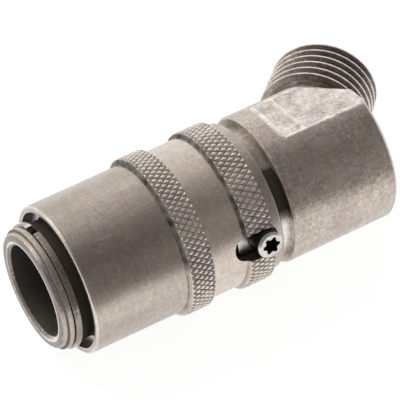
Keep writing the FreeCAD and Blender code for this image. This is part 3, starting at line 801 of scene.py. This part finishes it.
MOST_NOISE = (0.25, 0.75)  # most of a noise lies between these
CLEAR_NOISE = (0.3, 0.7)
LILAC_SCALE = 330
TAN_SCALE = 520
SMEAR_SCALE = 260
SMEAR_STRETCH = (0.25, 1, 1)
TURNING_SCALE = 330
TURNING_STRETCH = (9, 1, 1)
ROUGH_SCALE = 170
GRAIN_SCALE = 1500
SPECK_SCALE = 4300
SCRATCH_SCALE = 260
SCRATCH_STRETCH = (1, 16, 16)
SCRATCH_TURN = (0.4, 0.3, 0.9)
PIT_SCALE = 2000
EDGE_MARK_SCALE = 900
GLOSS_SCALE = 1700
GLOSS = (0.25, 0.42)  # roughness of the smoothest and the dullest spots
OIL_SHINE = 0.12
OIL_DULLNESS = 0.15  # roughness that oil adds
BUMP_SCALE = 2200
BUMP_DEPTH = 0.06 * MM


def mottled(tree, place, base, grainy, speckle, stained):
    """Base colour broken up by stains, smears along the axis, turning marks, grain and scratches."""
    lilac = patches(tree, place, LILAC_SCALE, (0.45, 0.68), (0, stained), detail=5, roughness=0.65)
    tan = patches(tree, stretched(tree, place, (-1, 1, 1)), TAN_SCALE, (0.48, 0.7), (0, stained),
                  detail=4, roughness=0.6)
    colour = mixed(tree, lilac, base, LILAC_STAIN, "MULTIPLY")
    colour = mixed(tree, tan, colour, TAN_STAIN, "MULTIPLY")
    smears = patches(tree, stretched(tree, place, SMEAR_STRETCH), SMEAR_SCALE, MOST_NOISE, (0.86, 1.14))
    rings = patches(tree, stretched(tree, place, TURNING_STRETCH), TURNING_SCALE, MOST_NOISE, (0.92, 1.08),
                    roughness=0.6)
    rough = patches(tree, place, ROUGH_SCALE, (0.4, 0.6), (0.5, 1.5), detail=2)
    grain = patches(tree, place, GRAIN_SCALE, MOST_NOISE, (-grainy, grainy), detail=4, roughness=0.7)
    grain = maths(tree, "ADD", times(tree, grain, rough), 1.0)
    specks = patches(tree, place, SPECK_SCALE, MOST_NOISE, (1 - speckle, 1 + speckle), detail=2,
                     roughness=0.6)
    colour = mixed(tree, 1.0, colour, times(tree, smears, rings, grain, specks), "MULTIPLY")
    fibres = stretched(tree, place, SCRATCH_STRETCH, SCRATCH_TURN)
    scratches = patches(tree, fibres, SCRATCH_SCALE, (0.66, 0.74), (0, 0.35), detail=2)
    pits = patches(tree, stretched(tree, place, (1, -1, 1)), PIT_SCALE, (0.64, 0.74), (0, 2 * speckle),
                   detail=2)
    return mixed(tree, strongest(tree, scratches, pits), colour, WEAR_AND_HIGHLIGHT)


def plated_steel(name, base, grime_and_shade, smooth=1.0, grainy=0.14, speckle=0.25, stained=0.45):
    """Tumbled and plated steel: mottled, with wear and a painted highlight on edges that stand out, painted
    shade in hollow corners, and darker where the grime and painted shade mask says so.
    """
    material, tree, shader = new_finish(name)
    place = object_place(tree)
    colour = mottled(tree, place, base(tree, place), grainy, speckle, stained)
    rubbed = put(tree, "ShaderNodeAttribute", attribute_name="rubbed").outputs["Fac"]
    patchy = patches(tree, place, EDGE_MARK_SCALE, (0.35, 0.6), (0.3, 1))
    # edges that stand out: wear with a painted highlight
    colour = mixed(tree, times(tree, ranged(tree, rubbed, 0, 1), patchy), colour, WEAR_AND_HIGHLIGHT)
    # hollow corners: painted shade
    corners = times(tree, ranged(tree, rubbed, -1, 0, 0.5, 0), patchy)
    # painted shade in hollow corners, with the material's grime and painted shade
    dark = strongest(tree, corners, grime_and_shade(tree, place))
    tree.links.new(mixed(tree, dark, colour, OIL_AND_SHADE), shader.inputs["Base Color"])
    tree.links.new(ranged(tree, dark, 0, 1, 1, 0.1), shader.inputs["Metallic"])
    shader.inputs["Specular IOR Level"].default_value = OIL_SHINE
    gloss = [level * smooth for level in GLOSS]
    rough = patches(tree, place, GLOSS_SCALE, CLEAR_NOISE, gloss, detail=4, roughness=0.7)
    rough = maths(tree, "ADD", rough, ranged(tree, dark, 0, 1, 0, OIL_DULLNESS))
    tree.links.new(rough, shader.inputs["Roughness"])
    bumped(tree, shader, noise(tree, place, BUMP_SCALE, 4, 0.65), 3 * grainy, BUMP_DEPTH)
    return material


# Where the sleeve has wear, painted highlights, dirt and painted shade

KNURL_FOOT = (MID_BAND_R + 0.3, MID_BAND_R + 0.4)  # the knurl's own colour starts here
# knurl tops: wear with a painted highlight, from here up
KNURL_TOP_WEAR_AND_HIGHLIGHT = (KNURL_R - 0.08, KNURL_R - 0.02)
# dirt with painted shade in the grooves between diamonds
KNURL_GROOVE_SHADE_AND_DIRT = (KNURL_R - KNURL_DEPTH, KNURL_R - 0.35 * KNURL_DEPTH)
KNURL_SHADE_AND_DIRT_SCALE = 700
# front rim: wear with a painted highlight
RIM_WEAR_HIGHLIGHT_X = (SLEEVE_FRONT + 0.05, SLEEVE_FRONT + 0.3)
RIM_WEAR_HIGHLIGHT_R = (SLEEVE_R - 0.4, SLEEVE_R - 0.2)
# painted shade in the bore behind the recess
BORE_SHADE = (SPRING_BORE_R + 0.02, RIM_INNER_R - 0.02)
# painted shade on the recess wall
RECESS_SHADE_R = (RIM_INNER_R - 0.05, RIM_INNER_R + 0.02)
RECESS_SHADE_X = (SLEEVE_FRONT + 0.1, SLEEVE_FRONT + 0.2)
# painted shade on the slot's walls
SLOT_SHADE = (SLOT_R + 0.02, SLOT_R + 0.04)
# painted shade on the shoulder in front of each band, deeper higher up
SHOULDER_SHADE_FROM = KNURL_FRONT_RUN + 0.12  # in front of a band
SHOULDER_SHADE_TO = 0.06
SHOULDER_SHADE_LEVEL = (3.6, 5.6)  # heights between which the shoulders' painted shade deepens


def sleeve_base(tree, place):
    """Middle band rubbed brighter than the rest; front rim and knurl tops rubbed bright with a painted
    highlight; the inner lip's face given a painted highlight.
    """
    radius, station = off_axis(tree, place)
    middle = within(tree, station, KNURL_1[1] + KNURL_REAR_RUN, KNURL_2[0] - KNURL_FRONT_RUN, soft=0.1)
    colour = mixed(tree, middle, NICKEL, POLISHED_NICKEL)
    colour = mixed(tree, ranged(tree, radius, *KNURL_FOOT), colour, KNURL_NICKEL)
    # knurl tops and front rim: wear with a painted highlight
    tops = ranged(tree, radius, *KNURL_TOP_WEAR_AND_HIGHLIGHT, 0, 0.75)
    rim = times(tree, within(tree, station, *RIM_WEAR_HIGHLIGHT_X, soft=0.1),
                ranged(tree, radius, *RIM_WEAR_HIGHLIGHT_R, 0, 0.45))
    # inner lip's face: painted highlight
    lip = times(tree, close_to(tree, station, RECESS_END, 0.05, soft=0.02),
                ranged(tree, radius, RIM_INNER_R - 0.05, RIM_INNER_R, 1, 0))
    return mixed(tree, strongest(tree, tops, rim, lip), colour, WEAR_AND_HIGHLIGHT)


def sleeve_shade_and_dirt(tree, place):
    """Painted shade in the bore, on the recess wall, on the slot's walls and on the shoulders in front of
    the knurls, and dirt with painted shade in the grooves between diamonds.
    """
    radius, station = off_axis(tree, place)
    inside = times(tree, ranged(tree, radius, *BORE_SHADE, 0.99, 0),
                   ranged(tree, station, RECESS_END, RECESS_END + 0.05))
    recess = times(tree, within(tree, radius, *RECESS_SHADE_R, soft=0.02),
                   ranged(tree, station, *RECESS_SHADE_X, 0, 0.7))
    beyond = strongest(tree, maths(tree, "SUBTRACT", SLOT_FRONT_X, station),
                       maths(tree, "SUBTRACT", station, SCREW_X), 0.0)
    reach = hypotenuse(tree, beyond, along(tree, place, OWN_Z))
    slot = times(tree, ranged(tree, reach, *SLOT_SHADE, 0.92, 0),
                 ranged(tree, along(tree, place, OWN_Y), -SLOT_FLOOR_R - 0.2, -SLOT_FLOOR_R, 1, 0))
    upper = ranged(tree, along(tree, place, ALONG_Z), *SHOULDER_SHADE_LEVEL, 0.05, 0.97)
    spread = 0.0
    for first, last in (KNURL_1, KNURL_2):
        shoulder = within(tree, station, first - SHOULDER_SHADE_FROM, first - SHOULDER_SHADE_TO, soft=0.06)
        grooves = times(tree, within(tree, station, first, last, soft=0.05),
                        ranged(tree, radius, *KNURL_GROOVE_SHADE_AND_DIRT, 0.95, 0))
        spread = strongest(tree, times(tree, shoulder, upper), grooves, spread)
    patchy = patches(tree, place, KNURL_SHADE_AND_DIRT_SCALE, (0.35, 0.65), (0.6, 1))
    return strongest(tree, inside, recess, slot, times(tree, spread, patchy))


# Where the nose has wear, painted highlights, grease and painted shade

LOW_FAR_SIDE = (0, 0.7, -0.7)  # side on which the mouth keeps its dull colour, without the painted highlight
BORE_DARK_DEPTH = 5.0  # the bore's painted shade deepens down to here
BORE_WALL = (PLUG_BORE_R + 0.02, PLUG_BORE_R + 0.08)
OUTER_WALL = (PLUG_BORE_R + 0.5, PLUG_BORE_R + 0.7)
# painted shade at the collar's step
STEP_SHADE = (COLLAR_START - 0.06, COLLAR_START + 0.08)
# painted shade with grease under the sleeve starts here
UNDER_SLEEVE = (GROOVE_START - 0.12, GROOVE_START - 0.04)


def nose_base(tree, place):
    """Dull front face, with wear and a painted highlight round the mouth apart from its low far side."""
    radius, station = off_axis(tree, place)
    colour = mixed(tree, ranged(tree, station, 0.05, 0.3, 1, 0), NICKEL, NOSE_FACE)
    chamfer = times(tree, within(tree, radius, PLUG_BORE_R + 0.04, MOUTH_R, soft=0.03),
                    ranged(tree, station, MOUTH_CHAMFER, MOUTH_CHAMFER + 0.1, 1, 0))
    low_far = along(tree, place, LOW_FAR_SIDE)
    colour = mixed(tree, chamfer, colour, mixed(tree, ranged(tree, low_far, -2, 2), WEAR_AND_HIGHLIGHT, NOSE_FACE))
    rim = times(tree, within(tree, radius, MOUTH_R, MOUTH_R + 0.2, soft=0.15),
                ranged(tree, station, 0.02, 0.1, 1, 0), ranged(tree, low_far, 2, 4, 0.7, 0))
    return mixed(tree, rim, colour, WEAR_AND_HIGHLIGHT)


def nose_shade_and_grease(tree, place):
    """Painted shade in the plug bore, darker the deeper, and at the collar's step, and painted shade with
    grease on what lies under the sleeve.
    """
    radius, station = off_axis(tree, place)
    bore = times(tree, ranged(tree, radius, *BORE_WALL, 1, 0),
                 ranged(tree, station, MOUTH_CHAMFER, MOUTH_CHAMFER + BORE_DARK_DEPTH, 0.85, 0.99))
    step = times(tree, within(tree, station, *STEP_SHADE, soft=0.04),
                 within(tree, radius, NOSE_R, COLLAR_R, soft=0.05), 0.7)
    under = times(tree, ranged(tree, station, *UNDER_SLEEVE, 0, 0.99), ranged(tree, radius, *OUTER_WALL))
    return strongest(tree, bore, step, under)


# Where the elbow has wear, painted highlights, stains, painted shade and a darker gap

NECK_HIGHLIGHT_LEVEL = (2.5, 4.5)  # heights between which the neck's painted highlight ends
FLAT_CLOUD_SCALE = 420
FLAT_WEAR_AND_HIGHLIGHT_SCALE = 500
HOLLOW_SHINE = (-4.0, -1.0)  # the hollow's painted highlight grows between these, across towards the stud
PALER_SIDE = (-0.856, 0.516, 0)  # side towards which the thread's grooves turn paler
PALER_REACH = 5.5
THREAD_ZONE = (STUD_CUT - 0.6, STUD_CHAMFER - 0.1)
# grooves that get the brown stain with painted shade
THREAD_GROOVE = (TUBE_CONE_R + 0.3, STUD_R - 0.17)
# painted highlight on the thread's crests
CREST_HIGHLIGHT = (STUD_R - 0.09, STUD_R - 0.04)
# darker band in the gap behind the sleeve
GAP_DARKENING = (SLEEVE_REAR - 0.4, ELBOW_FRONT + 0.02)
DARKENING_FOOT = (3.2, 4.8)  # heights between which the darkening starts
DARKENING_TOP = (8.9, 9.1)
DARKENING_SIDE = (0, 2)  # towards the far side the darkening thins out between these


def milled_flats(tree, place, station, colour):
    """Cloudy flats with a cutter line and rubbed edges with a painted highlight, and a painted highlight in
    the hollow in front of them.
    """
    sideways = along(tree, place, OWN_Y)
    side = maths(tree, "ABSOLUTE", sideways)
    height = maths(tree, "ABSOLUTE", along(tree, place, OWN_Z))
    flat = close_to(tree, height, FLAT_HEIGHT, 0.01, soft=0.02)
    clouds = patches(tree, place, FLAT_CLOUD_SCALE, (0.36, 0.66), detail=4, roughness=0.6)
    colour = mixed(tree, flat, colour, mixed(tree, clouds, MILLED_NICKEL, MILLED_CLOUD))
    line = times(tree, close_to(tree, station, CUTTER_LINE_X, 0.1, soft=0.3), 0.5)
    edge = within(tree, side, *FLAT_EDGE, soft=0.05)
    from_hollow = hypotenuse(tree, maths(tree, "SUBTRACT", station, HOLLOW_X),
                             maths(tree, "SUBTRACT", height, HOLLOW_HEIGHT))
    # painted highlight in the hollow
    hollow = times(tree, close_to(tree, from_hollow, HOLLOW_R, 0.03, soft=0.02),
                   ranged(tree, station, HOLLOW_X, HOLLOW_X + 0.05, 1, 0),
                   ranged(tree, sideways, *HOLLOW_SHINE, 0.1, 1))
    patchy = patches(tree, place, FLAT_WEAR_AND_HIGHLIGHT_SCALE, (0.3, 0.6), (0.25, 0.95))
    bright = strongest(tree, times(tree, flat, strongest(tree, line, edge)), hollow)
    return mixed(tree, times(tree, bright, patchy), colour, WEAR_AND_HIGHLIGHT)


def thread_stain_shade_highlight(tree, place, colour):
    """Thread brown between its crests, a stain with painted shade, paler towards one side, with a painted
    highlight on the crests.
    """
    reach = along(tree, place, STUD_AXIS, STUD_TIP)
    stud_radius = off_line(tree, place, STUD_AXIS, STUD_TIP)
    threaded = within(tree, reach, *THREAD_ZONE, soft=0.1)
    grooves = times(tree, threaded, within(tree, stud_radius, *THREAD_GROOVE, soft=0.08))
    pale = times(tree, ranged(tree, along(tree, place, PALER_SIDE, STUD_TIP), 0, PALER_REACH),
                 ranged(tree, reach, -THREAD_RUN - 0.3, -THREAD_RUN))
    colour = mixed(tree, grooves, colour, mixed(tree, pale, THREAD_BROWN, THREAD_PALE))
    crests = times(tree, threaded, ranged(tree, stud_radius, *CREST_HIGHLIGHT, 0, 0.8))
    return mixed(tree, crests, colour, WEAR_AND_HIGHLIGHT)


def elbow_base(tree, place):
    """Neck brightened below as a painted highlight, milled flats and the stained thread with painted shade
    and highlights.
    """
    station = along(tree, place, ALONG_X)
    neck = times(tree, ranged(tree, station, ELBOW_FRONT - 0.1, ELBOW_FRONT, 0.8, 0),
                 ranged(tree, along(tree, place, ALONG_Z), *NECK_HIGHLIGHT_LEVEL, 1, 0))
    colour = mixed(tree, neck, ELBOW_NICKEL, WEAR_AND_HIGHLIGHT)
    return thread_stain_shade_highlight(tree, place, milled_flats(tree, place, station, colour))


def elbow_gap_darkening(tree, place):
    """Darker in the gap behind the sleeve, on the near side, half way down."""
    level = along(tree, place, ALONG_Z)
    gap = within(tree, along(tree, place, ALONG_X), *GAP_DARKENING, soft=0.02)
    mid_height = times(tree, ranged(tree, level, *DARKENING_FOOT), ranged(tree, level, *DARKENING_TOP, 0.97, 0.35))
    near = ranged(tree, along(tree, place, ALONG_Y), *DARKENING_SIDE, 1, 0.25)
    return times(tree, gap, mid_height, near)


# Finishes of the ring, the screw and the inner pieces

RING_END_HIGHLIGHT = (0.5, 1.5)  # from the wire's end; the painted highlight fades between these
RING_END = (-0.3, -0.2)
RING_GRIME_SCALE = 800
SCREW_FACE = 13.0  # from the coupling's axis
SCREW_FACE_RUB = (SCREW_FACE - 0.06, SCREW_FACE - 0.02)
SCREW_CHAMFER_RUB = (SCREW_FACE - 0.45, SCREW_FACE - 0.25)
SOCKET_R = 1.35
SCREW_RUB_SCALE = 2500
SCREW_GLOSS_SCALE = 3000
METAL_CLOUD_SCALE = 1500
RUBBER_CLOUD_SCALE = 1800
FINE_BUMP_SCALE = 4000
RUBBER_BUMP_SCALE = 5000
FINE_BUMP_DEPTH = 0.03 * MM
CLOUD_SHADE = 0.8  # colour of a metal's clouds, as a share of its own


def ring_base(tree, place):
    """Dull steel, with a painted highlight on the wire's end that lies on the stud's side of the split."""
    inner, outer = RING_R
    from_end = along(tree, place, RING_END_WAY, RING_END_TOP * outer * MM)
    lit_end = times(tree, ranged(tree, from_end, *RING_END_HIGHLIGHT, 0.6, 0), ranged(tree, from_end, *RING_END),
                 ranged(tree, along(tree, place, RING_END_TOP), inner, inner + 0.5))
    return mixed(tree, lit_end, RING_STEEL, WEAR_AND_HIGHLIGHT)


def ring_grime(tree, place):
    return patches(tree, place, RING_GRIME_SCALE, (0.5, 0.75), (0, 0.5))


def screw_oxide(name):
    """Black oxide, darkened as painted shade, on the sides and in the socket, rubbed off on the face and
    its chamfer.
    """
    material, tree, shader = new_finish(name)
    place = object_place(tree)
    height = along(tree, place, -OWN_Y)
    reach = off_line(tree, place, OWN_Y, (SCREW_X * MM, 0, 0))
    face = ranged(tree, height, *SCREW_FACE_RUB)
    chamfer = times(tree, ranged(tree, height, *SCREW_CHAMFER_RUB),
                    ranged(tree, reach, SOCKET_R, SOCKET_R + 0.1))
    cloud = patches(tree, place, SCREW_RUB_SCALE, CLEAR_NOISE, (0.75, 1))
    bare = times(tree, strongest(tree, face, chamfer), cloud)
    tree.links.new(mixed(tree, bare, OXIDE_AND_SHADE_BLACK, BARE_STEEL), shader.inputs["Base Color"])
    tree.links.new(ranged(tree, bare, 0, 1, 0.5, 1), shader.inputs["Metallic"])
    rough = patches(tree, place, SCREW_GLOSS_SCALE, CLEAR_NOISE, (0.24, 0.4))
    tree.links.new(rough, shader.inputs["Roughness"])
    bumped(tree, shader, noise(tree, place, FINE_BUMP_SCALE), 0.3, FINE_BUMP_DEPTH)
    return material


def plain_metal(name, colour, roughness):
    """Clean metal with faint clouds."""
    material, tree, shader = new_finish(name)
    shader.inputs["Metallic"].default_value = 1.0
    place = object_place(tree)
    cloud = patches(tree, place, METAL_CLOUD_SCALE, CLEAR_NOISE)
    darker = tuple(level * CLOUD_SHADE for level in colour[:3]) + (1,)
    tree.links.new(mixed(tree, cloud, colour, darker), shader.inputs["Base Color"])
    tree.links.new(ranged(tree, cloud, 0, 1, roughness * 0.85, roughness * 1.2), shader.inputs["Roughness"])
    bumped(tree, shader, noise(tree, place, FINE_BUMP_SCALE, 2), 0.15, FINE_BUMP_DEPTH)
    return material


def seal_rubber(name):
    """Black rubber with a grey bloom."""
    material, tree, shader = new_finish(name)
    place = object_place(tree)
    cloud = noise(tree, place, RUBBER_CLOUD_SCALE, 4)
    tree.links.new(mixed(tree, cloud, RUBBER, RUBBER_BLOOM), shader.inputs["Base Color"])
    tree.links.new(ranged(tree, cloud, 0.2, 0.8, 0.42, 0.6), shader.inputs["Roughness"])
    bumped(tree, shader, noise(tree, place, RUBBER_BUMP_SCALE, 2), 0.2, FINE_BUMP_DEPTH)
    return material


def carry_over(finishes):
    """Gives the nodes that stay as they are their finish."""
    for node, finish in finishes.items():
        mesh = frame["nodes"][node].data
        mesh.materials.clear()
        mesh.materials.append(finish)


# Stage: floor, light tent, lamp and camera, in metres

WHITE = (1, 1, 1, 1)
WORLD_LIGHT = (0.55, 1.0)  # strength for plain light, and for what is seen or mirrored
FLOOR_GREY = (0.2, 0.2, 0.2, 1)
FLOOR_LIGHT = (0.3, 0.90)
FLOOR_SIZE = 2.0
TENT_R = 0.14
TENT_LENGTH = 3.0
TENT_STEPS = 48
TENT_FROM_DEG = -95.0  # at the floor on the camera's side
TENT_TO_DEG = 85.0
# Brightness by direction, in degrees from straight up, counted away from the camera
TENT_FRONT = ((-95, 0.27), (-80, 0.205), (-60, 0.21), (-48, 0.20), (-36, 0.14), (-18, 0.185), (0, 0.285),
              (16, 0.50), (32, 0.52), (48, 0.69), (64, 0.88), (85, 0.92))
TENT_REAR = ((-95, 0.30), (-80, 0.30), (-60, 0.37), (-48, 0.31), (-36, 0.215), (-18, 0.25), (0, 0.34),
             (16, 0.47), (32, 0.56), (48, 0.78), (64, 1.15), (85, 1.15))
TENT_CHANGE = (0.080, 0.092)  # stations between which the front levels give way to the rear ones
TENT_BRIGHT_END = (-0.6, -0.25)  # stations between which the far left end fades to the front levels
TENT_END_SHARE = 0.8
TENT_END_WHITE = (0.95, 0.92, 0.89, 1)
TENT_WARMTH = 0.09  # how far the dark parts lean to red
LAMP_PLACE = (-0.3, 0.8, 0.9)
LAMP_AIM = (0.03, 0, 0)
LAMP_SIZE = 0.8
LAMP_POWER = 6  # watts
CAMERA_PLACE = (-0.1238, -0.2503, 0.3431)
CAMERA_RIGHT = Vector((0.85648, -0.51619, 0))
CAMERA_UP = Vector((0.39138, 0.64939, 0.65201))
LENS = 288  # millimetres, as the sensor's width
SENSOR_WIDTH = 36


def seen_rays(tree):
    """One for rays from the camera and for reflected or refracted ones, zero for the rest."""
    path = put(tree, "ShaderNodeLightPath").outputs
    return strongest(tree, path["Is Camera Ray"], path["Is Glossy Ray"], path["Is Transmission Ray"])


def white_world():
    world = bpy.data.worlds.new("white_studio")
    bpy.context.scene.world = world
    world.use_nodes = True
    tree = world.node_tree
    ground = tree.nodes["Background"]
    ground.inputs["Color"].default_value = WHITE
    tree.links.new(ranged(tree, seen_rays(tree), 0, 1, *WORLD_LIGHT), ground.inputs["Strength"])


def empty_finish(name):
    """Material with no shader yet, and the socket that its surface goes to."""
    material, tree, shader = new_finish(name)
    tree.nodes.remove(shader)
    return material, tree, tree.nodes["Material Output"].inputs["Surface"]


def floor():
    """Pale floor that keeps the object's shadow and shows nearly white."""
    bm = bmesh.new()
    bmesh.ops.create_grid(bm, x_segments=1, y_segments=1, size=FLOOR_SIZE)
    bmesh.ops.translate(bm, verts=bm.verts, vec=(0, 0, FLOOR_Z))
    material, tree, surface = empty_finish("pale_floor")
    lit = put(tree, "ShaderNodeBsdfDiffuse", [("Color", FLOOR_GREY)])
    strength = ranged(tree, seen_rays(tree), 0, 1, *FLOOR_LIGHT)
    glow = put(tree, "ShaderNodeEmission", [("Color", WHITE), ("Strength", strength)])
    both = put(tree, "ShaderNodeAddShader", [(0, lit.outputs[0]), (1, glow.outputs[0])])
    tree.links.new(both.outputs[0], surface)
    finished(bm, "floor", material, weighted=False)


def tent_ramp(tree, share, levels):
    """Brightness round the tent, with its dark parts a little warm."""
    ramp = put(tree, "ShaderNodeValToRGB", [(0, share)])
    stops = ramp.color_ramp.elements
    for turn_deg, _ in levels[1:-1]:
        stops.new((turn_deg - TENT_FROM_DEG) / (TENT_TO_DEG - TENT_FROM_DEG))
    for stop, (_, level) in zip(stops, levels):
        warm = TENT_WARMTH * (1 - level)
        stop.color = (level * (1 + warm), level, level * (1 - warm / 3), 1)
    return ramp.outputs["Color"]


def light_tent():
    """Curved screen over the camera's side, dark in the middle, that only shows in the metal."""
    bm = bmesh.new()
    verts = [bm.verts.new((x * TENT_LENGTH / 2, 0, TENT_R)) for x in (-1, 1)]
    bm.edges.new(verts)
    first, last = math.radians(TENT_FROM_DEG), math.radians(TENT_TO_DEG)
    bm.transform(Matrix.Rotation(-first, 4, "X"))
    spin_about(bm, ALONG_X, first - last, TENT_STEPS)
    material, tree, surface = empty_finish("tent_cloth")
    axes = put(tree, "ShaderNodeSeparateXYZ", [(0, object_place(tree))]).outputs
    share = ranged(tree, maths(tree, "ARCTAN2", axes["Y"], axes["Z"]), first, last)
    cloth = mixed(tree, ranged(tree, axes["X"], *TENT_CHANGE), tent_ramp(tree, share, TENT_FRONT),
                  tent_ramp(tree, share, TENT_REAR))
    end = ranged(tree, axes["X"], *TENT_BRIGHT_END, TENT_END_SHARE, 0)
    cloth = mixed(tree, end, cloth, TENT_END_WHITE)
    glow = put(tree, "ShaderNodeEmission", [("Color", cloth), ("Strength", 1.0)])
    tree.links.new(glow.outputs[0], surface)
    piece = finished(bm, "light_tent", material, weighted=False)
    piece.visible_camera = False
    piece.visible_diffuse = False
    piece.visible_shadow = False


def softbox():
    light = bpy.data.lights.new("back_softbox", "AREA")
    light.shape = "DISK"
    light.size = LAMP_SIZE
    light.energy = LAMP_POWER
    made = placed("back_softbox", light)
    made.location = LAMP_PLACE
    made.rotation_euler = (Vector(LAMP_AIM) - Vector(LAMP_PLACE)).to_track_quat("-Z", "Y").to_euler()


def camera():
    data = bpy.data.cameras.new("photo_camera")
    data.lens = LENS
    data.sensor_width = SENSOR_WIDTH
    made = placed("photo_camera", data)
    turn = Matrix((CAMERA_RIGHT, CAMERA_UP, CAMERA_RIGHT.cross(CAMERA_UP))).transposed().to_4x4()
    made.matrix_world = Matrix.Translation(CAMERA_PLACE) @ turn
    bpy.context.scene.camera = made


sleeve_nickel = plated_steel("sleeve_nickel", sleeve_base, sleeve_shade_and_dirt, grainy=0.09, speckle=0.18)
body_nickel = plated_steel("body_nickel", nose_base, nose_shade_and_grease)
elbow_nickel = plated_steel("elbow_nickel", elbow_base, elbow_gap_darkening, grainy=0.28, speckle=0.25, stained=0.8)
ring_steel = plated_steel("ring_steel", ring_base, ring_grime, smooth=0.6)
spring_wire = plain_metal("spring_wire", SPRING_STEEL, 0.3)
ball_steel = plain_metal("ball_steel", BALL_STEEL, 0.12)
screw_steel = screw_oxide("screw_oxide")
brass = plain_metal("turned_brass", BRASS, 0.3)
rubber = seal_rubber("seal_rubber")

locking_sleeve(sleeve_nickel)
elbow(elbow_nickel)
socket_body(body_nickel)
snap_ring(ring_steel)
spring("sleeve_return_spring", "sleeve_spring", SLEEVE_WIRE_R, SLEEVE_COIL_R, spring_wire)
spring("poppet_spring", "valve_spring", VALVE_WIRE_R, VALVE_COIL_R, spring_wire)
carry_over({
    "lock_screw": screw_steel,
    "valve_poppet": brass,
    "valve_guide": brass,
    "plug_seal": rubber,
    "poppet_seal": rubber,
    "body_seal": rubber,
    **{"locking_ball_%d" % (i + 1): ball_steel for i in range(BALL_COUNT)},
})

white_world()
floor()
light_tent()
softbox()
camera()
bpy.context.scene.view_settings.view_transform = "Standard"
